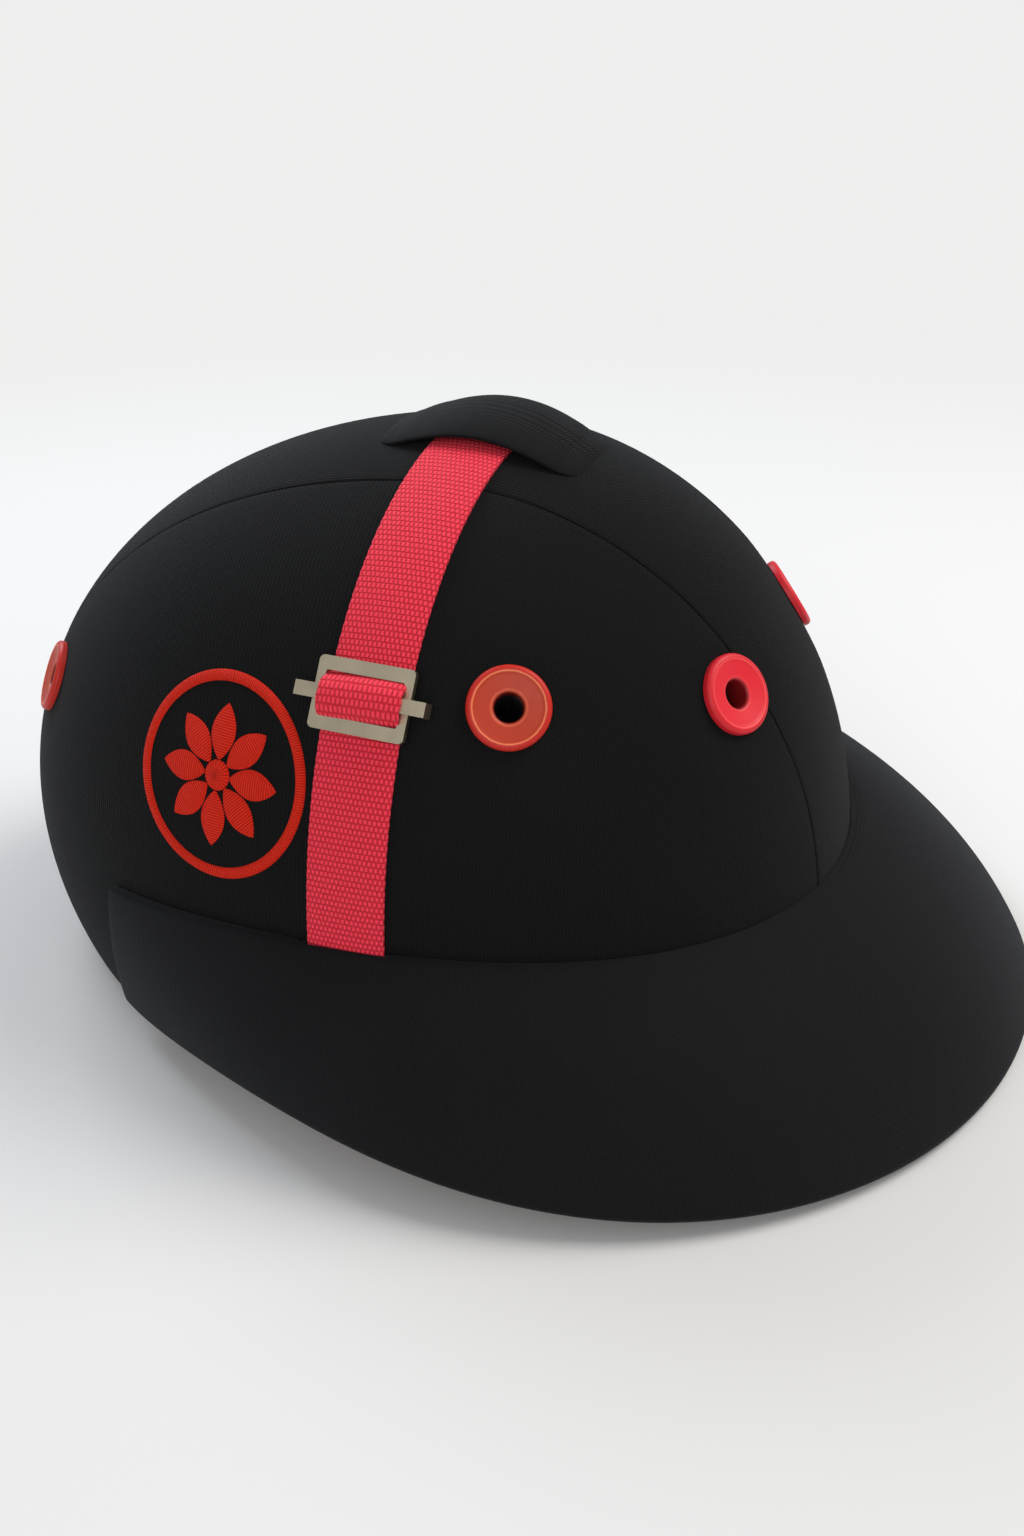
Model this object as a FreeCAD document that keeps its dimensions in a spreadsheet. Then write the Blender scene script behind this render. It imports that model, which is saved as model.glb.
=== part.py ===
import FreeCAD, Part
import math
import os
import re
import Sketcher
from FreeCAD import Placement, Rotation, Vector

# Polo helmet resting on its rear rim and on the front edge of its peak.
# The wearer faces -Y, the wearer's right is -X and +Z points up. Lengths are in millimetres.
# The dome is an egg: a front half and a rear half of different reach share one widest height.

SIZES = {
    # Dome, measured over the fabric
    "dome_half_width": 112,
    "dome_front_reach": 123.5,
    "dome_rear_reach": 168,
    "dome_height": 186,
    "dome_widest_height": 46,
    # Walls of the dome, from the outside inwards
    "cover_thickness": 2.5,
    "shell_wall": 3,
    "liner_side_wall": 24.3,
    "liner_front_wall": 27.8,
    "liner_rear_wall": 42.8,
    "liner_top_wall": 30.3,
    "lining_thickness": 3,
    "lining_lower_height": 74,
    "sweatband_thickness": 4,
    "sweatband_lower_height": 40,
    "sweatband_upper_height": 72,
    "crown_pad_radius": 36,
    "crown_pad_thickness": 8,
    # Seams between the three cover panels
    "panel_half_width": 35,
    "panel_end_half_width": 27.5,
    "panel_widest_y": 22,
    "seam_groove_width": 1.6,
    "seam_groove_depth": 1.1,
    # Rim, seen from the side
    "rim_front_height": 36,
    "rim_rear_height": 3,
    "rim_rise_start_y": 105,
    "rim_rise_end_y": 35,
    "rim_binding_thickness": 3,
    # Peak: reach and height of its edge and height of its top line on the dome
    "peak_front_reach": 184,
    "peak_quarter_reach": 166.8,
    "peak_side_reach": 134.2,
    "peak_end_reach": 132.2,
    "peak_front_edge_height": 0,
    "peak_quarter_edge_height": 3,
    "peak_side_edge_height": 14.2,
    "peak_end_edge_height": 9,
    "peak_front_line_height": 55.5,
    "peak_side_line_height": 64.5,
    "peak_end_line_height": 57.6,
    "peak_end_angle": 134,
    "peak_end_margin": 5,
    "peak_end_lean": 5,
    "peak_front_bulge": 8,
    "peak_side_bulge": 4.5,
    "peak_end_bulge": 1.6,
    "peak_core_thickness": 2.6,
    "peak_top_fabric": 1.3,
    "peak_under_fabric": 0.9,
    "peak_root_lift": 3.2,
    "peak_sections": 24,
    "peak_flange_thickness": 1.6,
    "peak_flange_setdown": 2.5,
    "peak_flange_depth": 16,
    "peak_flange_gap": 0.3,
    # Webbing over the crown
    "strap_width": 24,
    "strap_thickness": 1.8,
    "strap_crown_y": -8,
    "strap_slant": 0.09,
    "strap_lower_height": 27,
    "strap_slot_clearance": 0.3,
    # Padded bridge over the strap at the crown
    "hood_length": 68,
    "hood_width": 42,
    "hood_height": 6.8,
    "hood_opening_length": 52,
    "hood_opening_height": 3.8,
    "hood_sink": 2,
    # Buckle on the right of the strap
    "buckle_height": 133.5,
    "buckle_width": 29.4,
    "buckle_length": 20.8,
    "buckle_end_bar": 4,
    "buckle_rail": 2.7,
    "buckle_thickness": 2,
    "buckle_rise": 2.3,
    "buckle_corner_radius": 1.6,
    "slide_bar_width": 4.2,
    "slide_bar_thickness": 1.5,
    "slide_bar_end": 5,
    "slide_bar_lip": 1.4,
    "slide_clearance": 0.2,
    "slide_travel": 2,
    # Ventilation eyelets
    "eyelet_radius": 12,
    "eyelet_ring_radius": 10.3,
    "eyelet_bore_radius": 4.1,
    "eyelet_barrel_wall": 1.4,
    "eyelet_flange": 2.6,
    "eyelet_dish": 1,
    "eyelet_sink": 0.8,
    "eyelet_fit": 0.15,
    "washer_radius": 9,
    "washer_thickness": 1.2,
    "washer_gap": 0.55,
    "front_eyelet_azimuth": 22,
    "front_eyelet_height": 124,
    "side_eyelet_azimuth": 63.7,
    "side_eyelet_height": 133,
    "rear_eyelet_azimuth": 162,
    "rear_eyelet_height": 103,
    # Embroidered roundel
    "roundel_azimuth": 115.9,
    "roundel_height": 106.8,
    "roundel_radius": 31,
    "roundel_ring_width": 3.4,
    "roundel_petal_reach": 21.5,
    "roundel_petal_width": 9,
    "roundel_petal_count": 8,
    "roundel_heart_radius": 4.6,
    "roundel_rise": 0.9,
    # Rivets that hold the peak to the shell
    "rivet_head_radius": 3.6,
    "rivet_head_height": 1.2,
    "rivet_shank_radius": 2,
    "rivet_tail_radius": 3.2,
    "rivet_tail_height": 1,
    "rivet_tail_gap": 0.12,
    "rivet_line_drop": 11.5,
    "front_rivet_azimuth": 15,
    "middle_rivet_azimuth": 45,
    "side_rivet_azimuth": 72,
    # Hanger rings and chin strap
    "hanger_wire_radius": 1.5,
    "hanger_length": 31,
    "hanger_drop": 13,
    "hanger_clearance": 0.15,
    "chin_strap_width": 19,
    "chin_strap_thickness": 1.6,
    "chin_strap_length": 86,
    "chin_strap_slope": 5,
    "chin_buckle_width": 27,
    "chin_buckle_thickness": 8,
    "chin_buckle_length": 24,
    "chin_buckle_grip": 6,
    "chin_prong_length": 18,
    "chin_pad_start": 30,
    "chin_pad_length": 42,
    "chin_pad_wall": 2.2,
    "chin_keeper_start": 62,
    "chin_keeper_length": 6,
    "chin_keeper_wall": 1.4,
}

EYELETS = ("front", "side", "rear")
SIDES = (("right", -1), ("left", 1))
RIVETS = ("front", "middle", "side")

doc = FreeCAD.newDocument("polo_helmet")
sheet = doc.addObject("Spreadsheet::Sheet", "Sizes")
for row, (alias, value) in enumerate(SIZES.items(), start=1):
    sheet.set(f"A{row}", alias)
    sheet.set(f"B{row}", str(value))
    sheet.setAlias(f"B{row}", alias)
doc.recompute()



def size(alias):
    return float(sheet.get(alias))


def linked(words):
    """An expression with each alias written as a cell of the sheet."""
    return re.sub(r"\b([a-z]+_[a-z_]+)\b", r"Sizes.\1", words)


def value(words):
    return float(sheet.evalExpression(linked(words)))


# Plain helpers for solids of the document


def block(label, low, high):
    """A box between two corners, each given as three expressions."""
    box = doc.addObject("Part::Box", label)
    for side, axis, first, last in zip(("Length", "Width", "Height"), "xyz", low, high):
        box.setExpression(side, linked(f"({last}) - ({first})"))
        box.setExpression(f"Placement.Base.{axis}", linked(first))
    return box


def rod(label, radius, low, high, place=Placement()):
    """A cylinder about the local Z axis between two heights."""
    cylinder = doc.addObject("Part::Cylinder", label)
    cylinder.setExpression("Radius", linked(radius))
    cylinder.setExpression("Height", linked(f"({high}) - ({low})"))
    cylinder.Placement = place * Placement(Vector(0, 0, value(low)), Rotation())
    return cylinder


def pair(kind, label, base, tool):
    result = doc.addObject(kind, label)
    result.Base = base
    result.Tool = tool
    return result


def cut(label, base, tool):
    return pair("Part::Cut", label, base, tool)


def common(label, base, tool):
    return pair("Part::Common", label, base, tool)


def fuse(label, shapes):
    result = doc.addObject("Part::MultiFuse", label)
    result.Shapes = shapes
    result.Refine = False
    return result


def fixed_shape(label, shape):
    feature = doc.addObject("Part::Feature", label)
    feature.Shape = shape
    return feature


def body(label, place=Placement()):
    piece = doc.addObject("PartDesign::Body", label)
    piece.Placement = place
    return piece


def origin_plane(piece, role):
    return next(item for item in piece.Origin.OriginFeatures if item.Role == role)


def outline(piece, role, label, corners, bulges=None, raised="0"):
    """A closed outline of straight edges and arcs on an origin plane of a body.

    Corners are pairs of expressions. A bulge is the height of an arc over the edge
    that starts at that corner, and is positive where the arc lies left of the edge.
    """
    bulges = bulges or {}
    sketch = piece.newObject("Sketcher::SketchObject", label)
    sketch.AttachmentSupport = [(origin_plane(piece, role), "")]
    sketch.MapMode = "FlatFace"
    sketch.setExpression("AttachmentOffset.Base.y", linked(raised))
    points = [Vector(value(across), value(up), 0) for across, up in corners]
    starts = []
    ends = []
    for edge, start in enumerate(points):
        end = points[(edge + 1) % len(points)]
        rise = value(bulges[edge]) if edge in bulges else 0
        if rise == 0:
            sketch.addGeometry(Part.LineSegment(start, end))
        else:
            along = end.sub(start).normalize()
            middle = (start + end) * 0.5 + Vector(-along.y, along.x, 0) * rise
            sketch.addGeometry(Part.Arc(start, middle, end))
        clockwise = rise > 0
        starts.append(2 if clockwise else 1)
        ends.append(1 if clockwise else 2)
    for edge in range(len(points)):
        following = (edge + 1) % len(points)
        sketch.addConstraint(
            Sketcher.Constraint("Coincident", edge, ends[edge], following, starts[following])
        )
    for edge, (corner, point) in enumerate(zip(corners, points)):
        for kind, words, distance in zip(("DistanceX", "DistanceY"), corner, point):
            row = sketch.addConstraint(
                Sketcher.Constraint(kind, -1, 1, edge, starts[edge], distance)
            )
            sketch.setExpression(f"Constraints[{row}]", linked(words))
    for edge, words in bulges.items():
        (x1, y1), (x2, y2) = corners[edge], corners[(edge + 1) % len(corners)]
        radius = (
            f"((({x2}) - ({x1}))^2 + (({y2}) - ({y1}))^2) / (8 * abs({words})) + abs({words}) / 2"
        )
        row = sketch.addConstraint(Sketcher.Constraint("Radius", edge, value(radius)))
        sketch.setExpression(f"Constraints[{row}]", linked(radius))
    return sketch


def pad(piece, sketch, length, midplane=True):
    feature = piece.newObject("PartDesign::Pad", f"{sketch.Name}_pad")
    feature.Profile = sketch
    feature.setExpression("Length", linked(length))
    feature.Midplane = midplane
    return feature


def pocket(piece, sketch, length):
    feature = piece.newObject("PartDesign::Pocket", f"{sketch.Name}_pocket")
    feature.Profile = sketch
    feature.setExpression("Length", linked(length))
    feature.Midplane = True
    return feature


def turned(piece, sketch, axis, angle="360"):
    feature = piece.newObject("PartDesign::Revolution", f"{sketch.Name}_turn")
    feature.Profile = sketch
    feature.ReferenceAxis = (sketch, [axis])
    feature.setExpression("Angle", linked(angle))
    feature.Midplane = True
    return feature


def box_corners(left, right, low, high):
    return [(left, low), (right, low), (right, high), (left, high)]


def rounded_corners(half_width, half_height, radius):
    """Corners and bulges of a rectangle about the origin whose corners are quarter circles."""
    corners = [
        (f"-({half_width}) + {radius}", f"-({half_height})"),
        (f"{half_width} - {radius}", f"-({half_height})"),
        (half_width, f"-({half_height}) + {radius}"),
        (half_width, f"{half_height} - {radius}"),
        (f"{half_width} - {radius}", half_height),
        (f"-({half_width}) + {radius}", half_height),
        (f"-({half_width})", f"{half_height} - {radius}"),
        (f"-({half_width})", f"-({half_height}) + {radius}"),
    ]
    bulge = f"-(1 - sqrt(0.5)) * {radius}"
    return corners, {1: bulge, 3: bulge, 5: bulge, 7: bulge}


# Dome: points, normals and eggs


def dome_level(height):
    """Share of the widest section that is left at a height."""
    reach = size("dome_height") - size("dome_widest_height")
    return math.sqrt(1 - ((height - size("dome_widest_height")) / reach) ** 2)


def dome_reach(azimuth, height):
    """Distance of the dome from its upright axis. Azimuth 0 is the front, 90 the left."""
    turn = math.radians(azimuth)
    ahead = math.cos(turn)
    along = size("dome_front_reach") if ahead > 0 else size("dome_rear_reach")
    return dome_level(height) / math.hypot(math.sin(turn) / size("dome_half_width"), ahead / along)


def around(azimuth, reach, height):
    turn = math.radians(azimuth)
    return Vector(reach * math.sin(turn), -reach * math.cos(turn), height)


def dome_point(azimuth, height):
    return around(azimuth, dome_reach(azimuth, height), height)


def dome_normal(point):
    along = size("dome_front_reach") if point.y < 0 else size("dome_rear_reach")
    rise = point.z - size("dome_widest_height")
    reach = size("dome_height") - size("dome_widest_height")
    slope = Vector(point.x / size("dome_half_width") ** 2, point.y / along**2, rise / reach**2)
    return slope.normalize()


def seat_on_dome(point, lead):
    """A placement on the dome whose Z axis points outwards and whose X axis follows lead."""
    normal = dome_normal(point)
    return Placement(point, Rotation(lead, Vector(), normal, "ZXY"))


def egg(label, side, front, rear, rise):
    """A solid egg: a front and a rear half that meet on the plane through its axis."""
    halves = []
    for name, reach, out in (("rear", rear, 1), ("front", front, -1)):
        half = doc.addObject("Part::Ellipsoid", f"{label}_{name}")
        half.setExpression("Radius1", linked(reach))
        half.setExpression("Radius2", linked(rise))
        half.setExpression("Radius3", linked(side))
        half.Angle1 = 0
        half.Angle2 = 90
        half.Angle3 = 360
        half.Placement = Placement(
            Vector(), Rotation(Vector(0, 0, -1), Vector(), Vector(0, out, 0), "ZXY")
        )
        half.setExpression("Placement.Base.z", linked("dome_widest_height"))
        halves.append(half)
    return fuse(label, halves)


def dome_egg(label, inset):
    return egg(
        label,
        f"dome_half_width - ({inset})",
        f"dome_front_reach - ({inset})",
        f"dome_rear_reach - ({inset})",
        f"dome_height - dome_widest_height - ({inset})",
    )


def cavity_egg(label, inset):
    outer = "cover_thickness + shell_wall"
    return egg(
        label,
        f"dome_half_width - ({outer} + liner_side_wall) - ({inset})",
        f"dome_front_reach - ({outer} + liner_front_wall) - ({inset})",
        f"dome_rear_reach - ({outer} + liner_rear_wall) - ({inset})",
        f"dome_height - dome_widest_height - ({outer} + liner_top_wall) - ({inset})",
    )


# The object stands about the middle of its length, so each piece is set back by this much
NOSE_RADIUS = "peak_core_thickness / 2 + peak_top_fabric"
SET_BACK = value(f"(peak_front_reach + {NOSE_RADIUS} - dome_rear_reach) / 2")


def keep(part, label):
    """Name a finished piece and place it in the object's frame."""
    part.Label = label
    part.Placement = Placement(Vector(0, SET_BACK, 0), Rotation()) * part.Placement
    kept.append(part)
    return part


kept = []
REACH = "2 * dome_rear_reach"

dome = dome_egg("dome_outside", "0")
under_cover = dome_egg("dome_under_cover", "cover_thickness")
under_shell = dome_egg("dome_under_shell", "cover_thickness + shell_wall")
cavity = cavity_egg("cavity", "0")


def above_rim(label, lift):
    """Everything above the rim line, as seen from the side, raised by lift."""
    piece = body(label)
    run = "(rim_rise_start_y - rim_rise_end_y)"
    rise = "(rim_front_height - rim_rear_height)"
    middle_y = "(rim_rise_start_y + rim_rise_end_y) / 2"
    middle_z = "(rim_front_height + rim_rear_height) / 2"
    sagitta = f"sqrt({run}^2 + {rise}^2) / 4 * tan(atan({rise} / {run}) / 2)"
    corners = [
        (f"-({REACH})", f"rim_front_height + {lift}"),
        (f"-({REACH})", REACH),
        (REACH, REACH),
        (REACH, f"rim_rear_height + {lift}"),
        ("rim_rise_start_y", f"rim_rear_height + {lift}"),
        (middle_y, f"{middle_z} + {lift}"),
        ("rim_rise_end_y", f"rim_front_height + {lift}"),
    ]
    sketch = outline(piece, "YZ_Plane", f"{label}_outline", corners, {4: sagitta, 5: f"-({sagitta})"})
    pad(piece, sketch, f"2 * {REACH}")
    return piece


walls_above = above_rim("walls_above_rim", "0")
binding_above = above_rim("binding_above_rim", "-rim_binding_thickness")


def half_space(label, side):
    """The half of space on one side of the middle plane."""
    low, high = ("0", REACH) if side > 0 else (f"-({REACH})", "0")
    return block(label, (low, f"-({REACH})", f"-({REACH})"), (high, REACH, REACH))


def level_slab(label, low, high):
    return block(label, (f"-({REACH})", f"-({REACH})", low), (REACH, REACH, high))


# Ventilation eyelets: one pair each at the front seams, the sides and the rear seams

BARREL_RADIUS = "eyelet_bore_radius + eyelet_barrel_wall"
BARREL_DEPTH = "cover_thickness + shell_wall + washer_gap + washer_thickness"


def eyelet_seat(name, side):
    azimuth = side * size(f"{name}_eyelet_azimuth")
    point = dome_point(azimuth, size(f"{name}_eyelet_height"))
    return seat_on_dome(point, Vector(0, 0, -1))


EYELET_SEATS = {
    f"{name}_{word}": eyelet_seat(name, side) for name in EYELETS for word, side in SIDES
}


def eyelet(label, seat):
    """A dished flange with a raised ring, and a barrel that goes through cover and shell."""
    piece = body(label, seat)
    top = "(eyelet_flange - eyelet_sink)"
    corners = [
        ("eyelet_bore_radius", f"-({BARREL_DEPTH})"),
        (BARREL_RADIUS, f"-({BARREL_DEPTH})"),
        (BARREL_RADIUS, "-eyelet_sink"),
        ("eyelet_radius", "-eyelet_sink"),
        ("eyelet_radius", f"{top} - 1.3"),
        ("eyelet_ring_radius", top),
        ("eyelet_ring_radius - 1.1", f"{top} - 0.35"),
        ("eyelet_bore_radius + 1.4", f"{top} - eyelet_dish"),
        ("eyelet_bore_radius", f"{top} - eyelet_dish - 1.2"),
    ]
    bulges = {4: "-0.45", 7: "-0.35"}
    sketch = outline(piece, "XZ_Plane", f"{label}_section", corners, bulges)
    turned(piece, sketch, "V_Axis")
    keep(piece, label)


def eyelet_washer(label, seat):
    """The ring that the barrel is rolled over, against the inside of the shell."""
    piece = body(label, seat)
    outer_face = "-(cover_thickness + shell_wall + washer_gap)"
    inner_face = f"-({BARREL_DEPTH})"
    section = box_corners(f"{BARREL_RADIUS} + eyelet_fit", "washer_radius", inner_face, outer_face)
    turned(piece, outline(piece, "XZ_Plane", f"{label}_section", section), "V_Axis")
    keep(piece, label)


for name, seat in EYELET_SEATS.items():
    eyelet(f"eyelet_{name}", seat)
    eyelet_washer(f"eyelet_washer_{name}", seat)

# Rivets through the turned-down flange of the peak


def cosine_series(front, quarter, side, end):
    """Four cosine terms that take the given values at azimuths 0, 45, 90 and 135."""
    mean = (quarter + end) / 2
    second = mean - side
    odd_sum = front - mean - second
    odd_difference = (quarter - end) / math.sqrt(2)
    first = (odd_sum + odd_difference) / 2
    third = (odd_sum - odd_difference) / 2
    return (mean, first, second, third)


def series_at(terms, azimuth):
    turn = math.radians(azimuth)
    return sum(term * math.cos(order * turn) for order, term in enumerate(terms))


def line_terms():
    """Three cosine terms for the height at which the peak's top line meets the dome."""
    front = size("peak_front_line_height")
    side = size("peak_side_line_height")
    end = size("peak_end_line_height")
    diagonal = math.sqrt(0.5)
    second = (end - side + (front - side) * diagonal) / (1 + 2 * diagonal)
    first = front - side - 2 * second
    return (side + second, first, second)


REACH_TERMS = cosine_series(
    size("peak_front_reach"),
    size("peak_quarter_reach"),
    size("peak_side_reach"),
    size("peak_end_reach"),
)
EDGE_TERMS = cosine_series(
    size("peak_front_edge_height"),
    size("peak_quarter_edge_height"),
    size("peak_side_edge_height"),
    size("peak_end_edge_height"),
)
LINE_TERMS = line_terms()


def rivet_seat(name, side):
    azimuth = side * size(f"{name}_rivet_azimuth")
    height = series_at(LINE_TERMS, azimuth) - size("rivet_line_drop")
    return seat_on_dome(dome_point(azimuth, height), Vector(0, 0, -1))


RIVET_SEATS = {f"{name}_{word}": rivet_seat(name, side) for name in RIVETS for word, side in SIDES}


def rivet(label, seat):
    """Head on the flange, shank through cover and shell, and a rolled tail."""
    tail_face = "-(cover_thickness + shell_wall + rivet_tail_gap)"
    tail_end = f"{tail_face} - rivet_tail_height"
    shank = rod(f"{label}_shank", "rivet_shank_radius", tail_end, "peak_flange_thickness", seat)
    tail = rod(f"{label}_tail", "rivet_tail_radius", tail_end, tail_face, seat)
    head = doc.addObject("Part::Cone", f"{label}_head")
    head.setExpression("Radius1", linked("rivet_head_radius"))
    head.setExpression("Radius2", linked("rivet_head_radius * 0.6"))
    head.setExpression("Height", linked("rivet_head_height"))
    head.Placement = seat * Placement(Vector(0, 0, size("peak_flange_thickness")), Rotation())
    keep(fuse(f"{label}_solid", [shank, tail, head]), label)


for name, seat in RIVET_SEATS.items():
    rivet(f"peak_rivet_{name}", seat)

# Holes that the eyelets and rivets need in each wall

DEEP = "-(liner_rear_wall + liner_side_wall)"
PROUD = "strap_thickness + eyelet_flange"
TAIL_DEPTH = "cover_thickness + shell_wall + rivet_tail_gap + rivet_tail_height"


def bores(label, seats, radius, low, high):
    return [rod(f"{label}_{name}", radius, low, high, seat) for name, seat in seats.items()]


barrel_holes = bores("barrel_hole", EYELET_SEATS, f"{BARREL_RADIUS} + eyelet_fit", DEEP, PROUD)
shank_holes = bores("shank_hole", RIVET_SEATS, "rivet_shank_radius + eyelet_fit", DEEP, PROUD)
flange_seats = bores("flange_seat", EYELET_SEATS, "eyelet_radius + eyelet_fit", "-eyelet_sink", PROUD)
vent_bores = bores("vent_bore", EYELET_SEATS, "eyelet_bore_radius", DEEP, "0")
washer_seats = bores(
    "washer_seat", EYELET_SEATS, "washer_radius + eyelet_fit", f"-({BARREL_DEPTH})", "0"
)
tail_seats = bores(
    "tail_seat", RIVET_SEATS, "rivet_tail_radius + eyelet_fit", f"-({TAIL_DEPTH})", "0"
)
cover_holes = fuse("cover_holes", barrel_holes + flange_seats + shank_holes)
shell_holes = fuse("shell_holes", barrel_holes + shank_holes)
liner_holes = fuse("liner_holes", vent_bores + washer_seats + tail_seats)
lining_holes = fuse("lining_holes", vent_bores)

# Cover: three fabric panels over thin foam, with a sunk seam between each two


def crown_strip(label, extra):
    """The middle strip of the dome in plan, widest near the crown."""
    piece = body(label)
    half_length = "(dome_front_reach + dome_rear_reach) / 2"
    end = f"panel_end_half_width + {extra}"
    rear = f"panel_widest_y + {half_length}"
    front = f"panel_widest_y - {half_length}"
    corners = [
        (end, f"-({REACH})"),
        (end, front),
        (end, rear),
        (end, REACH),
        (f"-({end})", REACH),
        (f"-({end})", rear),
        (f"-({end})", front),
        (f"-({end})", f"-({REACH})"),
    ]
    swell = "-(panel_half_width - panel_end_half_width)"
    pad(piece, outline(piece, "XY_Plane", f"{label}_outline", corners, {1: swell, 5: swell}), f"2 * {REACH}")
    return piece


center_strip = crown_strip("center_strip", "0")
wide_strip = crown_strip("wide_strip", "seam_groove_width / 2")
narrow_strip = crown_strip("narrow_strip", "-seam_groove_width / 2")
groove_skin = cut("groove_skin", dome, dome_egg("groove_floor", "seam_groove_depth"))
seam_grooves = common("seam_grooves", groove_skin, cut("seam_bands", wide_strip, narrow_strip))

cloth = common("cloth", cut("cloth_skin", dome, under_cover), walls_above)
cloth = cut("cloth_with_grooves", cloth, seam_grooves)
cloth = cut("cloth_with_holes", cloth, cover_holes)
keep(common("cover_center", cloth, center_strip), "cover_center_panel")
side_cloth = cut("side_cloth", cloth, center_strip)
for word, side in SIDES:
    panel = common(f"cover_{word}", side_cloth, half_space(f"half_{word}", side))
    keep(panel, f"cover_side_panel_{word}")

# Shell, foam liner and the soft lining of the head cavity

shell_skin = common("shell_skin", cut("shell_walls", under_cover, under_shell), walls_above)
keep(cut("shell_drilled", shell_skin, shell_holes), "shell")
liner_skin = common("liner_skin", cut("liner_walls", under_shell, cavity), walls_above)
keep(cut("liner_drilled", liner_skin, liner_holes), "impact_liner")

under_lining = cavity_egg("under_lining", "lining_thickness")
under_band = cavity_egg("under_band", "sweatband_thickness")
under_pad = cavity_egg("under_pad", "lining_thickness + crown_pad_thickness")
lining_skin = cut("lining_skin", cavity, under_lining)
lining_level = level_slab("lining_level", "lining_lower_height", REACH)
lining = common("lining_upper", lining_skin, lining_level)
keep(cut("lining_drilled", lining, lining_holes), "crown_lining")

band_skin = cut("band_skin", cavity, under_band)
band_level = level_slab("band_level", "sweatband_lower_height", "sweatband_upper_height")
keep(common("sweatband_ring", band_skin, band_level), "sweatband")
nape_level = level_slab("nape_level", f"-({REACH})", "sweatband_lower_height - 2")
nape_skin = common("nape_skin", common("nape_above", band_skin, walls_above), nape_level)
keep(nape_skin, "nape_pad")

pad_turn = Placement(Vector(), Rotation(Vector(0, 0, 1), 45))
pad_column = rod("pad_column", "crown_pad_radius", "dome_widest_height", "dome_height", pad_turn)
keep(common("crown_pad_disc", cut("pad_skin", under_lining, under_pad), pad_column), "crown_pad")

# Rim binding: closes the lower edges of cover, shell and liner

binding_band = cut("binding_band", binding_above, walls_above)
binding_walls = cut("binding_walls", dome, cavity)
keep(common("binding", binding_walls, binding_band), "rim_binding")


# Webbing: a flat strap over the crown, drawn as a skin of the dome


def strap_plan(label, extra):
    """The strap in plan: two straight runs that lean back from the crown to each side."""
    piece = body(label)
    half = f"(strap_width * sqrt(1 + strap_slant^2) / 2 + {extra})"
    end_y = f"strap_crown_y + strap_slant * {REACH}"
    corners = [
        (f"-({REACH})", f"{end_y} - {half}"),
        ("0", f"strap_crown_y - {half}"),
        (REACH, f"{end_y} - {half}"),
        (REACH, f"{end_y} + {half}"),
        ("0", f"strap_crown_y + {half}"),
        (f"-({REACH})", f"{end_y} + {half}"),
    ]
    pad(piece, outline(piece, "XY_Plane", f"{label}_outline", corners), f"2 * {REACH}")
    return piece


STRAP_TOP = "strap_thickness"
over_strap = dome_egg("over_strap", f"-{STRAP_TOP}")
strap_skin = cut("strap_skin", over_strap, dome)
strap_level = level_slab("strap_level", "strap_lower_height + hanger_wire_radius + 0.5", REACH)
strap_run = common("strap_run", common("strap_band", strap_skin, strap_plan("strap_plan", "0")), strap_level)

# Buckle: a frame over the strap, and a bar that slides on its rails under a fold of webbing


def strap_point(height, side):
    """The middle of the strap on the dome at a height, found by halving the azimuth range."""
    low, high = 45, 135
    for _ in range(40):
        azimuth = (low + high) / 2
        point = dome_point(azimuth, height)
        middle = size("strap_crown_y") + size("strap_slant") * point.x
        low, high = (azimuth, high) if point.y < middle else (low, azimuth)
    return Vector(side * point.x, point.y, point.z)


def down_strap(point):
    """The direction in which the strap runs down the dome."""
    side = 1 if point.x > 0 else -1
    across = Vector(-size("strap_slant"), side, 0).normalize()
    return across.cross(dome_normal(point)).normalize() * (-side)


buckle_point = strap_point(size("buckle_height"), -1)
buckle_seat = seat_on_dome(buckle_point, down_strap(buckle_point))
FRAME_TOP = "(buckle_rise + buckle_thickness)"
OPENING = "(buckle_length / 2 - buckle_end_bar)"
FOLD_INNER = "(slide_bar_width / 2 + slide_travel + slide_clearance)"
FOLD_INNER_TOP = f"({FRAME_TOP} + slide_clearance + slide_bar_thickness + slide_clearance)"


def webbing_fold():
    """The fold of webbing that goes up through the frame, over the bar and down again."""
    piece = body("webbing_fold", buckle_seat)
    inner = FOLD_INNER
    outer = f"({inner} + strap_thickness)"
    foot = f"({outer} + 1.5)"
    inner_bend = "(0.3 * strap_thickness)"
    outer_bend = "(1.3 * strap_thickness)"
    top = f"({FOLD_INNER_TOP} + strap_thickness)"
    corners = [
        (f"-{foot}", "0"),
        (f"-{inner}", "0"),
        (f"-{inner}", f"{FOLD_INNER_TOP} - {inner_bend}"),
        (f"-{inner} + {inner_bend}", FOLD_INNER_TOP),
        (f"{inner} - {inner_bend}", FOLD_INNER_TOP),
        (inner, f"{FOLD_INNER_TOP} - {inner_bend}"),
        (inner, "0"),
        (foot, "0"),
        (foot, STRAP_TOP),
        (outer, STRAP_TOP),
        (outer, f"{top} - {outer_bend}"),
        (f"{outer} - {outer_bend}", top),
        (f"-{outer} + {outer_bend}", top),
        (f"-{outer}", f"{top} - {outer_bend}"),
        (f"-{outer}", STRAP_TOP),
        (f"-{foot}", STRAP_TOP),
    ]
    quarter = "(1 - sqrt(0.5))"
    bulges = {
        2: f"{quarter} * {inner_bend}",
        4: f"{quarter} * {inner_bend}",
        10: f"-{quarter} * {outer_bend}",
        12: f"-{quarter} * {outer_bend}",
    }
    pad(piece, outline(piece, "XZ_Plane", "webbing_fold_outline", corners, bulges), "strap_width")
    return piece


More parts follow.
